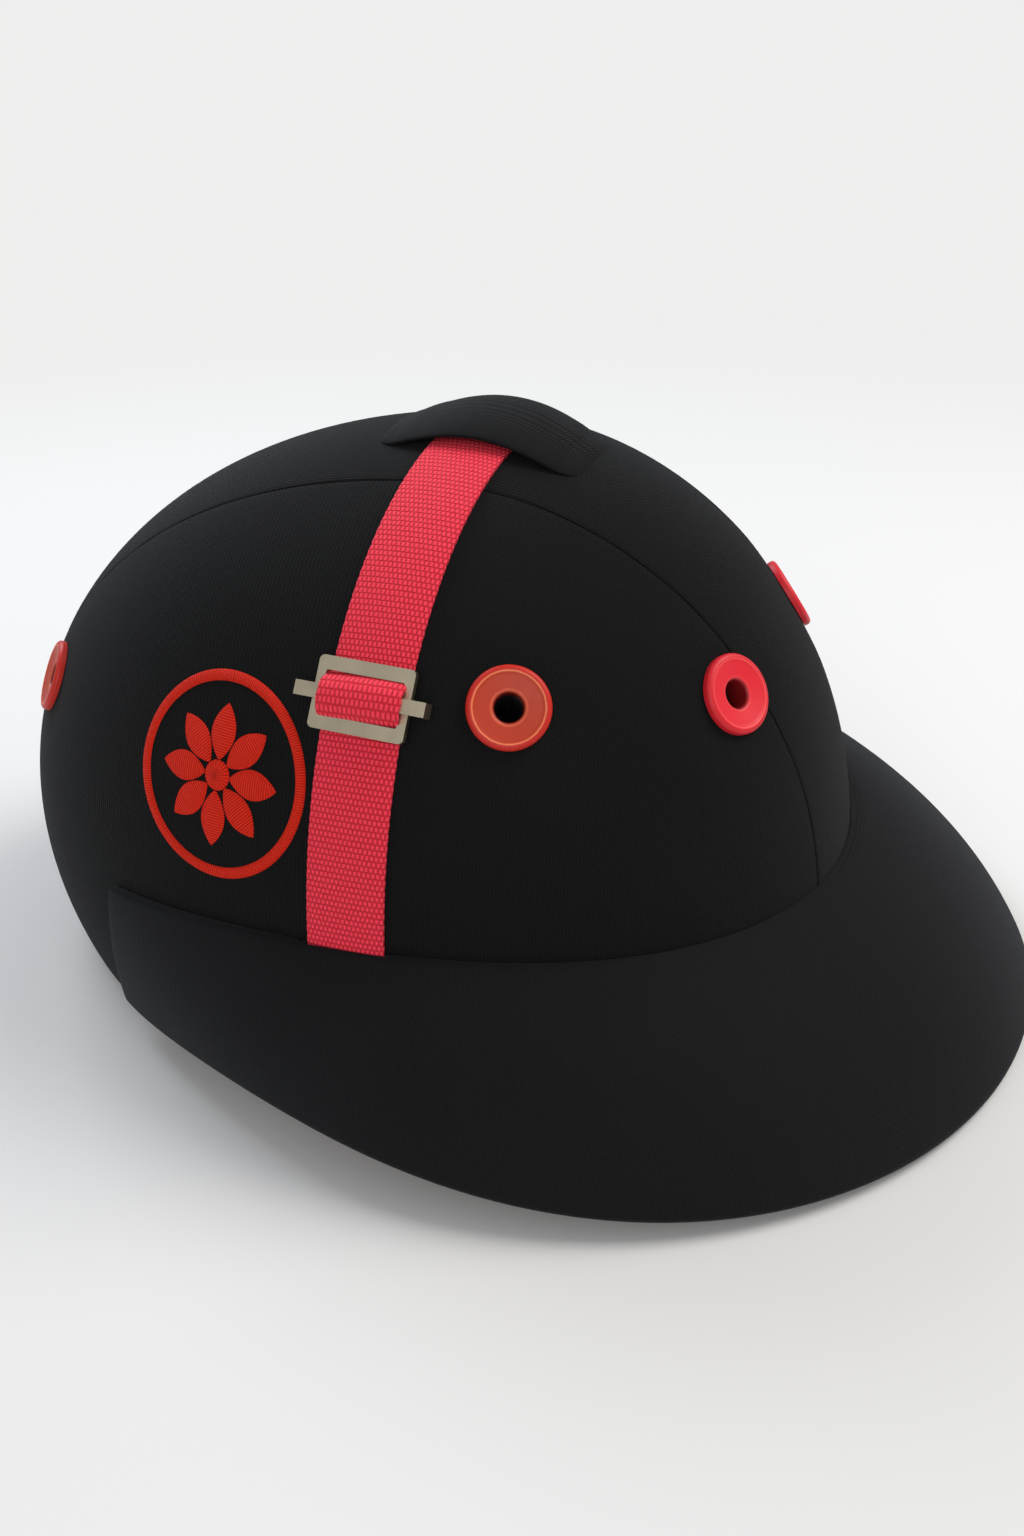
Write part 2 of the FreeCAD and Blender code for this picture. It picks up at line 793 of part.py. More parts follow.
def seated_block(label, seat, low, high):
    """A box whose corners are given in the frame of its seat."""
    box = doc.addObject("Part::Box", label)
    for side, first, last in zip(("Length", "Width", "Height"), low, high):
        box.setExpression(side, linked(f"({last}) - ({first})"))
    box.Placement = seat * Placement(Vector(*[value(words) for words in low]), Rotation())
    return box


fold_window = seated_block(
    "fold_window",
    buckle_seat,
    (f"-{FOLD_INNER}", "-strap_width", "-5"),
    (FOLD_INNER, "strap_width", "10"),
)


def hanger_x(side):
    """Across position of the hanger ring, in line with the middle of the strap's thickness."""
    height = size("strap_lower_height")
    reach = dome_reach(90, height) + size("strap_thickness") / 2
    return side * reach


def hanger_y():
    return size("strap_crown_y") + size("strap_slant") * abs(hanger_x(1))


ALONG_Y = Rotation(Vector(1, 0, 0), -90)
LOOP_BORE = "(hanger_wire_radius + hanger_clearance)"


def loop_place(side, height):
    return Placement(Vector(hanger_x(side), hanger_y(), height), ALONG_Y)


def tube(label, inner, outer, length, place):
    wall = rod(f"{label}_outside", outer, f"-({length}) / 2", f"({length}) / 2", place)
    bore = rod(f"{label}_bore", inner, f"-({length})", length, place)
    return cut(label, wall, bore)


strap_loops = [
    tube(
        f"strap_loop_{word}",
        LOOP_BORE,
        f"{LOOP_BORE} + strap_thickness",
        "strap_width",
        loop_place(side, size("strap_lower_height")),
    )
    for word, side in SIDES
]
open_run = cut("strap_open_run", strap_run, fold_window)
keep(fuse("strap_whole", [open_run, webbing_fold()] + strap_loops), "crown_strap")


def buckle_frame():
    piece = body("buckle_frame", buckle_seat)
    half_length = "buckle_length / 2"
    half_width = "buckle_width / 2"
    outside = rounded_corners(half_length, half_width, "buckle_corner_radius")
    plate = outline(piece, "XY_Plane", "buckle_plate", *outside)
    plate.setExpression("AttachmentOffset.Base.z", linked("buckle_rise"))
    pad(piece, plate, "buckle_thickness", midplane=False)
    inside = rounded_corners(OPENING, f"({half_width} - buckle_rail)", "buckle_corner_radius / 3")
    pocket(piece, outline(piece, "XY_Plane", "buckle_opening", *inside), "4 * buckle_length")
    keep(piece, "buckle_frame")


buckle_frame()


def slide_bar():
    """A flat bar over the rails whose ends fold down outside them and grip them from below."""
    piece = body("buckle_bar", buckle_seat)
    outer = "(buckle_width / 2 + slide_clearance + slide_bar_end)"
    rail_side = "(buckle_width / 2 + slide_clearance)"
    grip = "(buckle_width / 2 - slide_bar_lip)"
    rail_top = f"({FRAME_TOP} + slide_clearance)"
    rail_bottom = "(buckle_rise - slide_clearance)"
    bottom = f"({rail_bottom} - 1)"
    top = f"({rail_top} + slide_bar_thickness)"
    corners = [
        (f"-{outer}", bottom),
        (f"-{grip}", bottom),
        (f"-{grip}", rail_bottom),
        (f"-{rail_side}", rail_bottom),
        (f"-{rail_side}", rail_top),
        (rail_side, rail_top),
        (rail_side, rail_bottom),
        (grip, rail_bottom),
        (grip, bottom),
        (outer, bottom),
        (outer, top),
        (f"-{outer}", top),
    ]
    pad(piece, outline(piece, "YZ_Plane", "slide_bar_section", corners), "slide_bar_width")
    keep(piece, "buckle_bar")


slide_bar()

# Crown hood: a padded bridge that the strap runs under


def crown_hood():
    piece = body("hood_bridge")
    turn_radius = "(dome_half_width^2 / (dome_height - dome_widest_height))"
    axis_height = f"(dome_height - {turn_radius})"
    reach_upper = "(dome_height - dome_widest_height)"
    front_y = "(strap_crown_y - hood_length / 2)"
    rear_y = "(strap_crown_y + hood_length / 2)"
    front_z = f"({reach_upper} * sqrt(1 - ({front_y} / dome_front_reach)^2) + dome_widest_height)"
    rear_z = f"({reach_upper} * sqrt(1 - ({rear_y} / dome_rear_reach)^2) + dome_widest_height)"
    crown_z = f"({reach_upper} * sqrt(1 - (strap_crown_y / dome_front_reach)^2) + dome_widest_height)"
    share = "(hood_opening_length / hood_length)"
    middle_z = f"(({front_z} + {rear_z}) / 2 - hood_sink)"
    lean = f"(({rear_z} - {front_z}) / 2)"
    corners = [
        (front_y, f"{middle_z} - {lean} - {axis_height}"),
        (f"strap_crown_y - hood_opening_length / 2", f"{middle_z} - {lean} * {share} - {axis_height}"),
        (f"strap_crown_y + hood_opening_length / 2", f"{middle_z} + {lean} * {share} - {axis_height}"),
        (rear_y, f"{middle_z} + {lean} - {axis_height}"),
    ]
    bulges = {
        1: f"{crown_z} + hood_opening_height - {middle_z}",
        3: f"-({crown_z} + hood_height - {middle_z})",
    }
    sketch = outline(piece, "YZ_Plane", "hood_section", corners, bulges, raised=axis_height)
    turned(piece, sketch, "H_Axis", f"2 * asin(hood_width / 2 / ({turn_radius} + hood_height / 2))")
    keep(cut("hood_seated", piece, dome), "crown_hood")


crown_hood()


# Peak: core, top cover and under cover share one curved section that changes around the dome


NOSE_FULLNESS = 0.9
NOSE_FLAT = 0.4


def peak_section(azimuth):
    """Centre, radii and ends of the curved section of the peak at an azimuth."""
    line = series_at(LINE_TERMS, azimuth)
    root = dome_reach(azimuth, line) + size("peak_root_lift")
    nose_height = series_at(EDGE_TERMS, azimuth) + value(NOSE_RADIUS)
    start = Vector(root, line, 0)
    tip = Vector(series_at(REACH_TERMS, azimuth), nose_height, 0)
    slope = (tip - start).normalize()
    start_middle = start - Vector(-slope.y, slope.x, 0) * value(NOSE_RADIUS)
    along = (tip - start_middle).normalize()
    outward = Vector(-along.y, along.x, 0)
    bulge_terms = cosine_series(
        size("peak_front_bulge"),
        (size("peak_front_bulge") + size("peak_side_bulge")) / 2,
        size("peak_side_bulge"),
        size("peak_end_bulge"),
    )
    bulge = series_at(bulge_terms, azimuth)
    chord = (tip - start_middle).Length
    radius = chord**2 / (8 * bulge) + bulge / 2
    centre = (tip + start_middle) * 0.5 + outward * (bulge - radius)
    return start, tip, centre, radius


def on_root_line(start, centre, radius):
    """Where a level line inwards from the root's outer corner meets an arc about the centre."""
    height = start.y - centre.y
    return Vector(centre.x + math.sqrt(radius**2 - height**2), start.y, 0)


def stand_up(edges, azimuth):
    """Turn a section drawn with reach as X and height as Y to its azimuth."""
    wire = Part.Wire(edges)
    matrix = FreeCAD.Matrix()
    matrix.rotateX(math.radians(90))
    matrix.rotateZ(math.radians(azimuth - 90))
    return wire.transformGeometry(matrix)


def arc_about(centre, radius, first, last):
    """The arc about a centre between the directions of two points."""
    start = centre + (first - centre).normalize() * radius
    end = centre + (last - centre).normalize() * radius
    middle = centre + ((start + end) * 0.5 - centre).normalize() * radius
    return Part.Arc(start, middle, end).toShape()


def nose_edges(tip, centre, radius):
    """The bevelled edge of the peak from its upper to its lower face."""
    up = (tip - centre).normalize() * radius
    out = Vector(up.y, -up.x, 0) * NOSE_FULLNESS
    corners = [tip + up, tip + up * NOSE_FLAT + out, tip - up * NOSE_FLAT + out, tip - up]
    return [Part.LineSegment(corners[i], corners[i + 1]).toShape() for i in range(3)]


def core_edges(azimuth):
    start, tip, centre, radius = peak_section(azimuth)
    half = size("peak_core_thickness") / 2
    upper = on_root_line(start, centre, radius + half)
    lower = on_root_line(start, centre, radius - half)
    return [
        arc_about(centre, radius + half, upper, tip),
        *nose_edges(tip, centre, half),
        arc_about(centre, radius - half, tip, lower),
        Part.LineSegment(lower, upper).toShape(),
    ]


def top_cover_edges(azimuth):
    start, tip, centre, radius = peak_section(azimuth)
    half = size("peak_core_thickness") / 2
    outer = half + size("peak_top_fabric")
    upper = on_root_line(start, centre, radius + outer)
    lower = on_root_line(start, centre, radius + half)
    up = (tip - centre).normalize()
    return [
        arc_about(centre, radius + outer, upper, tip),
        *nose_edges(tip, centre, outer),
        Part.LineSegment(tip - up * outer, tip - up * half).toShape(),
        *reversed(nose_edges(tip, centre, half)),
        arc_about(centre, radius + half, tip, lower),
        Part.LineSegment(lower, upper).toShape(),
    ]


def under_cover_edges(azimuth):
    start, tip, centre, radius = peak_section(azimuth)
    outer = radius - size("peak_core_thickness") / 2
    inner = outer - size("peak_under_fabric")
    upper = on_root_line(start, centre, outer)
    lower = on_root_line(start, centre, inner)
    up = (tip - centre).normalize()
    return [
        arc_about(centre, outer, upper, tip),
        Part.LineSegment(centre + up * outer, centre + up * inner).toShape(),
        arc_about(centre, inner, tip, lower),
        Part.LineSegment(lower, upper).toShape(),
    ]


def flange_edges(azimuth):
    """The core's turned-down flange against the dome, where the rivets go through."""
    line = series_at(LINE_TERMS, azimuth)
    top = line - size("peak_flange_setdown")
    foot = line - size("peak_flange_depth")
    thickness = size("peak_flange_thickness")
    corners = [
        Vector(dome_reach(azimuth, top) - thickness, top, 0),
        Vector(dome_reach(azimuth, top) + thickness, top, 0),
        Vector(dome_reach(azimuth, foot) + thickness, foot, 0),
        Vector(dome_reach(azimuth, foot) - thickness, foot, 0),
    ]
    return [Part.LineSegment(corners[i - 1], corners[i]).toShape() for i in range(4)]


def peak_loft(label, edges_at):
    span = size("peak_end_angle") + size("peak_end_margin")
    steps = int(size("peak_sections"))
    wires = []
    for step in range(steps + 1):
        azimuth = span * (2 * step / steps - 1)
        wires.append(stand_up(edges_at(azimuth), azimuth))
    return fixed_shape(label, Part.makeLoft(wires, True, False))


def end_trim(word, side):
    """The space behind the end of the peak, past a face that leans back towards the floor."""
    azimuth = side * size("peak_end_angle")
    height = size("peak_end_line_height")
    face = Placement(around(azimuth, 0, height), Rotation(Vector(0, 0, 1), azimuth - 90))
    lean = Placement(Vector(), Rotation(Vector(1, 0, 0), side * size("peak_end_lean")))
    box = doc.addObject("Part::Box", f"end_trim_{word}")
    reach = value(REACH)
    box.Length = reach
    box.Width = reach / 2
    box.Height = reach
    corner = Vector(0, 0 if side > 0 else -reach / 2, -reach / 2)
    box.Placement = face * lean * Placement(corner, Rotation())
    return box


slot_plan = strap_plan("slot_plan", "strap_slot_clearance")
over_slot = dome_egg("over_slot", f"-({STRAP_TOP} + strap_slot_clearance)")
strap_slot = common("strap_slot", over_slot, slot_plan)
peak_trim = fuse("peak_trim", [dome, strap_slot] + [end_trim(word, side) for word, side in SIDES])


def peak_layer(label, shape, holes=None):
    layer = cut(f"{label}_trimmed", shape, peak_trim)
    if holes:
        layer = cut(f"{label}_drilled", layer, holes)
    keep(layer, label)


flange = peak_loft("peak_flange_loft", flange_edges)
core = fuse("peak_core_whole", [peak_loft("peak_core_loft", core_edges), flange])
peak_layer("peak_core", core, fuse("flange_holes", shank_holes))
peak_layer("peak_top_cover", peak_loft("peak_top_loft", top_cover_edges))
flange_room = dome_egg("flange_room", "-(peak_flange_thickness + peak_flange_gap)")
under_loft = peak_loft("peak_under_loft", under_cover_edges)
peak_layer("peak_under_cover", cut("peak_under_clear", under_loft, flange_room))

# Embroidered roundel: a stitched ring around a rosette of petals


def roundel():
    point = dome_point(-size("roundel_azimuth"), size("roundel_height"))
    seat = seat_on_dome(point, Vector(0, 0, -1))
    stitches = cut("stitch_skin", dome_egg("over_stitches", "-roundel_rise"), dome)
    low = "-roundel_radius / 2"
    high = "roundel_radius / 2"
    outer = rod("roundel_outer", "roundel_radius", low, high, seat)
    inner = rod("roundel_inner", "roundel_radius - roundel_ring_width", low, high, seat)
    keep(common("roundel_ring_skin", stitches, cut("roundel_band", outer, inner)), "roundel_ring")
    petal = body("roundel_petals", seat)
    half = "roundel_heart_radius * 0.7"
    corners = [(half, "0"), ("roundel_petal_reach", "0")]
    side = "roundel_petal_width / 2"
    sketch = outline(petal, "XY_Plane", "petal_outline", corners, {0: side, 1: side})
    leaf = pad(petal, sketch, "roundel_radius")
    ring = petal.newObject("PartDesign::PolarPattern", "petal_ring")
    ring.Originals = [leaf]
    ring.Axis = (sketch, ["N_Axis"])
    ring.Angle = 360
    ring.Occurrences = int(size("roundel_petal_count"))
    petal.Tip = ring
    heart = rod("roundel_heart", "roundel_heart_radius", low, high, seat)
    whole = fuse("rosette_columns", [petal, heart])
    keep(common("rosette_skin", stitches, whole), "roundel_rosette")


roundel()

# Hanger rings: wire rings under the rim that join the crown strap to the chin strap


def hanger_ring(word, side):
    x = hanger_x(side)
    y = hanger_y()
    top = size("strap_lower_height")
    bottom = top - size("hanger_drop")
    half = size("hanger_length") / 2 - size("hanger_wire_radius")
    corners = [Vector(x, y - half, top), Vector(x, y + half, top)]
    corners += [Vector(x, y + half, bottom), Vector(x, y - half, bottom)]
    pieces = []
    for index, corner in enumerate(corners):
        run = corner - corners[index - 1]
        wire = doc.addObject("Part::Cylinder", f"hanger_{word}_wire_{index}")
        wire.setExpression("Radius", linked("hanger_wire_radius"))
        wire.Height = run.Length
        wire.Placement = Placement(corners[index - 1], Rotation(Vector(0, 0, 1), run))
        ball = doc.addObject("Part::Sphere", f"hanger_{word}_corner_{index}")
        ball.setExpression("Radius", linked("hanger_wire_radius"))
        ball.Placement = Placement(corner, Rotation())
        pieces += [wire, ball]
    keep(fuse(f"hanger_{word}_wires", pieces), f"hanger_ring_{word}")


# Chin strap: each half hangs from its ring and is folded in under the rim at rest.
# Each half is drawn along X from its hinge, then turned into place.


def chin_seat(side):
    hinge = Vector(hanger_x(side), hanger_y(), size("strap_lower_height") - size("hanger_drop"))
    inwards = Rotation(Vector(0, 0, 1), 90 + side * 90)
    return Placement(hinge, inwards * Rotation(Vector(0, 1, 0), size("chin_strap_slope")))


CHIN_HALF_WIDTH = "chin_strap_width / 2"
CHIN_HALF_THICKNESS = "chin_strap_thickness / 2"
CHIN_SLOT = "(chin_strap_thickness / 2 + strap_slot_clearance)"


def chin_strap(word, seat):
    webbing = seated_block(
        f"chin_webbing_{word}",
        seat,
        (f"{LOOP_BORE} + {CHIN_HALF_THICKNESS}", f"-{CHIN_HALF_WIDTH}", f"-{CHIN_HALF_THICKNESS}"),
        ("chin_strap_length", CHIN_HALF_WIDTH, CHIN_HALF_THICKNESS),
    )
    loop_seat = seat * Placement(Vector(), ALONG_Y)
    outer = f"{LOOP_BORE} + chin_strap_thickness"
    loop = tube(f"chin_loop_{word}", LOOP_BORE, outer, "chin_strap_width", loop_seat)
    keep(fuse(f"chin_whole_{word}", [webbing, loop]), f"chin_strap_{word}")


def sleeve(label, seat, start, end, wall, side_wall):
    """A sleeve around the chin webbing between two distances from the hinge."""
    piece = body(label, seat)
    half_width = f"({CHIN_HALF_WIDTH} + {side_wall})"
    half_height = f"({CHIN_HALF_THICKNESS} + {wall})"
    rounding = f"(0.6 * {half_height})"
    corners, bulges = rounded_corners(half_width, half_height, rounding)
    sketch = outline(piece, "YZ_Plane", f"{label}_outline", corners, bulges)
    sketch.setExpression("AttachmentOffset.Base.z", linked(start))
    pad(piece, sketch, f"({end}) - ({start})", midplane=False)
    slot_sides = (f"{CHIN_HALF_WIDTH} + 0.1", f"{CHIN_HALF_THICKNESS} + 0.1")
    slot = outline(
        piece,
        "YZ_Plane",
        f"{label}_slot",
        box_corners(f"-({slot_sides[0]})", slot_sides[0], f"-({slot_sides[1]})", slot_sides[1]),
    )
    pocket(piece, slot, "4 * chin_strap_length")
    return keep(piece, label)


def chin_buckle_socket(seat):
    """Female half: a flat housing with a webbing slot at one end and a mouth at the other."""
    piece = body("chin_buckle_socket", seat)
    start = "(chin_strap_length - chin_buckle_grip)"
    end = f"({start} + chin_buckle_length)"
    half_width = "chin_buckle_width / 2"
    shell_outline = outline(
        piece,
        "XY_Plane",
        "socket_outline",
        [
            (start, f"-({half_width} - 3)"),
            (f"{start} + 3", f"-{half_width}"),
            (f"{end} - 2", f"-{half_width}"),
            (end, f"-({half_width} - 2)"),
            (end, f"{half_width} - 2"),
            (f"{end} - 2", half_width),
            (f"{start} + 3", half_width),
            (start, f"{half_width} - 3"),
        ],
    )
    pad(piece, shell_outline, "chin_buckle_thickness")
    slot = outline(
        piece,
        "YZ_Plane",
        "socket_slot",
        box_corners(
            f"-({CHIN_HALF_WIDTH} + 0.1)",
            f"{CHIN_HALF_WIDTH} + 0.1",
            f"-({CHIN_HALF_THICKNESS} + 0.1)",
            f"{CHIN_HALF_THICKNESS} + 0.1",
        ),
    )
    slot.setExpression("AttachmentOffset.Base.z", linked("chin_strap_length / 2"))
    pocket(piece, slot, "chin_strap_length")
    mouth = outline(
        piece,
        "YZ_Plane",
        "socket_mouth",
        box_corners(
            f"-({half_width} - 3)",
            f"{half_width} - 3",
            "-chin_buckle_thickness / 4 - 0.3",
            "chin_buckle_thickness / 4 + 0.3",
        ),
    )
    mouth.setExpression("AttachmentOffset.Base.z", linked(end))
    pocket(piece, mouth, "2 * (chin_prong_length - 2)")
    side_windows = outline(
        piece,
        "XZ_Plane",
        "socket_windows",
        box_corners(
            f"{end} - 13",
            f"{end} - 5",
            "-chin_buckle_thickness / 4 - 0.3",
            "chin_buckle_thickness / 4 + 0.3",
        ),
    )
    pocket(piece, side_windows, "2 * chin_buckle_width")
    keep(piece, "chin_buckle_socket")


def chin_buckle_prong(seat):
    """Male half: a base with a webbing slot, a guide tongue and two side prongs."""
    piece = body("chin_buckle_prong", seat)
    start = "(chin_strap_length - chin_buckle_grip)"
    base_end = f"({start} + chin_buckle_grip + 4)"
    end = f"({base_end} + chin_prong_length)"
    half_width = "chin_buckle_width / 2"
    base = outline(
        piece,
        "XY_Plane",
        "prong_base",
        [
            (start, f"-({half_width} - 3)"),
            (f"{start} + 3", f"-{half_width}"),
            (base_end, f"-{half_width}"),
            (base_end, half_width),
            (f"{start} + 3", half_width),
            (start, f"{half_width} - 3"),
        ],
    )
    pad(piece, base, "chin_buckle_thickness * 0.75")
    inner = f"({half_width} - 3.6)"
    prongs = outline(
        piece,
        "XY_Plane",
        "prong_arms",
        [
            (f"{base_end} - 1", f"-{inner}"),
            (f"{end} - 6", f"-{inner}"),
            (f"{end} - 7", f"-({half_width} - 0.6)"),
            (f"{end} - 3", f"-({half_width} - 1.6)"),
            (end, f"-({half_width} - 6)"),
            (f"{end} - 3", f"-({half_width} - 8.4)"),
            (f"{end} - 9", f"-({half_width} - 6.2)"),
            (f"{base_end} + 2", f"-({half_width} - 6)"),
            (f"{base_end} + 2", "-2"),
            (f"{end} - 3", "-1.6"),
            (f"{end} - 1.5", "0"),
            (f"{end} - 3", "1.6"),
            (f"{base_end} + 2", "2"),
            (f"{base_end} + 2", f"{half_width} - 6"),
            (f"{end} - 9", f"{half_width} - 6.2"),
            (f"{end} - 3", f"{half_width} - 8.4"),
            (end, f"{half_width} - 6"),
            (f"{end} - 3", f"{half_width} - 1.6"),
            (f"{end} - 7", f"{half_width} - 0.6"),
            (f"{end} - 6", inner),
            (f"{base_end} - 1", inner),
        ],
    )
    pad(piece, prongs, "chin_buckle_thickness / 2 - 0.2")
    slot = outline(
        piece,
        "YZ_Plane",
        "prong_slot",
        box_corners(
            f"-({CHIN_HALF_WIDTH} + 0.1)",
            f"{CHIN_HALF_WIDTH} + 0.1",
            f"-({CHIN_HALF_THICKNESS} + 0.1)",
            f"{CHIN_HALF_THICKNESS} + 0.1",
        ),
    )
    slot.setExpression("AttachmentOffset.Base.z", linked("chin_strap_length / 2"))
    pocket(piece, slot, "chin_strap_length")
    keep(piece, "chin_buckle_prong")


for word, side in SIDES:
    hanger_ring(word, side)
    chin_strap(word, chin_seat(side))
chin_buckle_socket(chin_seat(-1))
chin_buckle_prong(chin_seat(1))
sleeve("chin_pad", chin_seat(-1), "chin_pad_start", "chin_pad_start + chin_pad_length", "chin_pad_wall", "3")
sleeve(
    "chin_strap_keeper",
    chin_seat(1),
    "chin_keeper_start",
    "chin_keeper_start + chin_keeper_length",
    "chin_keeper_wall",
    "chin_keeper_wall",
)

doc.recompute()

# Every object must be sound before anything is written

for item in doc.Objects:
    if "Invalid" in item.State or "Error" in item.State:
        raise RuntimeError(f"{item.Label} failed: {item.State}")
for part in kept:
    if part.Shape.isNull() or not part.Shape.isValid() or part.Shape.Volume < 1:
        raise RuntimeError(f"{part.Label} has no sound solid")
    print(f"{part.Label}: {len(part.Shape.Solids)} solid, {part.Shape.Volume / 1000:.2f} cm3")

os.makedirs("parts", exist_ok=True)
for part in kept:
    part.Shape.exportStep(f"parts/{part.Label}.step")
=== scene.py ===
import math
import bpy
from mathutils import Matrix, Vector


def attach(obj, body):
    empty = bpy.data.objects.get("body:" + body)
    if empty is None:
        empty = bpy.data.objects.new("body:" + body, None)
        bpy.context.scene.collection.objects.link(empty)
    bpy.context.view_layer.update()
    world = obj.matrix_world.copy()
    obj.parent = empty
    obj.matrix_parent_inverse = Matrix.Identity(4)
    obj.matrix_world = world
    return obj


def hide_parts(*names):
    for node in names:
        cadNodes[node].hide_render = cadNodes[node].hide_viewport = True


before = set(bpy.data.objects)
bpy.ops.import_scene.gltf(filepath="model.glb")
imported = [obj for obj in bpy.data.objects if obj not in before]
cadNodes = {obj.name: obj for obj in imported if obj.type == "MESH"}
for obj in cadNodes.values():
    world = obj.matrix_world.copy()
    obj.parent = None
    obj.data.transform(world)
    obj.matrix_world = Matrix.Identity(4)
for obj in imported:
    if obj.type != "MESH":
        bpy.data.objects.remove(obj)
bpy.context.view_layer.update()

# the dome is an egg with a short front half and a long rear half, in metres
dome = {
    "halfWidth": 0.112,
    "frontReach": 0.1235,
    "rearReach": 0.168,
    "rise": 0.140,
    "widest": 0.046,
    "middleY": 0.0093,
}
# the crown webbing starts a little ahead of the dome's middle and slants back down both sides
strapLine = {
    "crownY": -0.008,
    "slant": 0.09,
}


# small helpers

def selectOnly(*pieces):
    if bpy.context.object and bpy.context.object.mode != "OBJECT":
        bpy.ops.object.mode_set(mode="OBJECT")
    bpy.ops.object.select_all(action="DESELECT")
    for piece in pieces:
        piece.select_set(True)
    if pieces:
        bpy.context.view_layer.objects.active = pieces[0]


def useModifier(piece, kind, **values):
    selectOnly(piece)
    modifier = piece.modifiers.new(kind.title(), kind)
    for name, value in values.items():
        setattr(modifier, name, value)
    bpy.ops.object.modifier_apply(modifier=modifier.name)


def editMesh(piece, operator, **values):
    selectOnly(piece)
    bpy.ops.object.mode_set(mode="EDIT")
    bpy.ops.mesh.select_all(action="SELECT")
    operator(**values)
    bpy.ops.object.mode_set(mode="OBJECT")


def roundEdges(piece, width, segments, degrees=60):
    bend = math.radians(degrees)
    useModifier(piece, "BEVEL", width=width, segments=segments, limit_method="ANGLE", angle_limit=bend)


def smooth(piece, degrees):
    selectOnly(piece)
    bpy.ops.object.shade_smooth_by_angle(angle=math.radians(degrees))


def paint(piece, material):
    piece.data.materials.clear()
    piece.data.materials.append(material)


def finishPiece(piece, material, body, *replaced):
    paint(piece, material)
    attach(piece, body)
    if replaced:
        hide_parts(*replaced)


def shapedGrid(name, across, along, place, closed=True):
    # a flat grid whose points are carried to place(u, v), which gives a point and a pattern position,
    # and whose points that then meet are merged
    selectOnly()
    bpy.ops.mesh.primitive_grid_add(x_subdivisions=across, y_subdivisions=along, size=1, location=(0, 0, 0))
    piece = bpy.context.object
    piece.name = name
    mesh = piece.data
    shares = [(corner.co.x + 0.5, corner.co.y + 0.5) for corner in mesh.vertices]
    patterns = []
    for corner, (u, v) in zip(mesh.vertices, shares):
        point, pattern = place(u, v)
        corner.co = point
        patterns.append(pattern)
    uvs = mesh.uv_layers.active.data
    for loop in mesh.loops:
        uvs[loop.index].uv = patterns[loop.vertex_index]
    if closed:
        editMesh(piece, bpy.ops.mesh.remove_doubles, threshold=0.00002)
    return piece


def turnOutwards(piece, centre):
    # an open patch gets its outer side away from centre
    mesh = piece.data
    wrong = sum(1 if face.normal.dot(face.center - centre) < 0 else -1 for face in mesh.polygons)
    if wrong > 0:
        editMesh(piece, bpy.ops.mesh.flip_normals)


def recalculate(piece):
    editMesh(piece, bpy.ops.mesh.normals_make_consistent, inside=False)


def domeLevel(height):
    return math.sqrt(max(0, 1 - ((height - dome["widest"]) / dome["rise"]) ** 2))


def domeReach(azimuth, height):
    ahead = math.cos(azimuth)
    along = dome["frontReach"] if ahead > 0 else dome["rearReach"]
    return domeLevel(height) / math.hypot(math.sin(azimuth) / dome["halfWidth"], ahead / along)


def around(azimuth, reach, height):
    return Vector((reach * math.sin(azimuth), dome["middleY"] - reach * math.cos(azimuth), height))


def domeNormal(point):
    y = point.y - dome["middleY"]
    along = dome["frontReach"] if y < 0 else dome["rearReach"]
    above = point.z - dome["widest"]
    slope = Vector((point.x / dome["halfWidth"] ** 2, y / along**2, above / dome["rise"] ** 2))
    return slope.normalized()


def domeTop(x, y):
    # height of the dome over a point in plan
    yy = y - dome["middleY"]
    along = dome["frontReach"] if yy < 0 else dome["rearReach"]
    share = 1 - (x / dome["halfWidth"]) ** 2 - (yy / along) ** 2
    return dome["widest"] + dome["rise"] * math.sqrt(max(0, share))


def strapY(x):
    return dome["middleY"] + strapLine["crownY"] + strapLine["slant"] * abs(x)


# materials

def newMaterial(name):
    material = bpy.data.materials.new(name)
    material.use_nodes = True
    nodes = material.node_tree.nodes
    return material, nodes, material.node_tree.links, nodes["Principled BSDF"]


def setInputs(node, inputs):
    for name, value in inputs.items():
        node.inputs[name].default_value = value


def addNode(nodes, kind, inputs=None, **values):
    node = nodes.new(kind)
    for name, value in values.items():
        setattr(node, name, value)
    setInputs(node, inputs or {})
    return node


def addBump(nodes, links, shader, height, strength, distance):
    bump = addNode(nodes, "ShaderNodeBump", {"Strength": strength, "Distance": distance})
    links.new(height, bump.inputs["Height"])
    links.new(bump.outputs[0], shader.inputs["Normal"])


def newGroup(name, inputs, outputs):
    group = bpy.data.node_groups.new(name, "ShaderNodeTree")
    for label, kind, value in inputs:
        item = group.interface.new_socket(name=label, in_out="INPUT", socket_type=kind)
        if value is not None:
            item.default_value = value
    for label, kind in outputs:
        group.interface.new_socket(name=label, in_out="OUTPUT", socket_type=kind)
    start = group.nodes.new("NodeGroupInput")
    end = group.nodes.new("NodeGroupOutput")
    return group, group.nodes, group.links, start, end


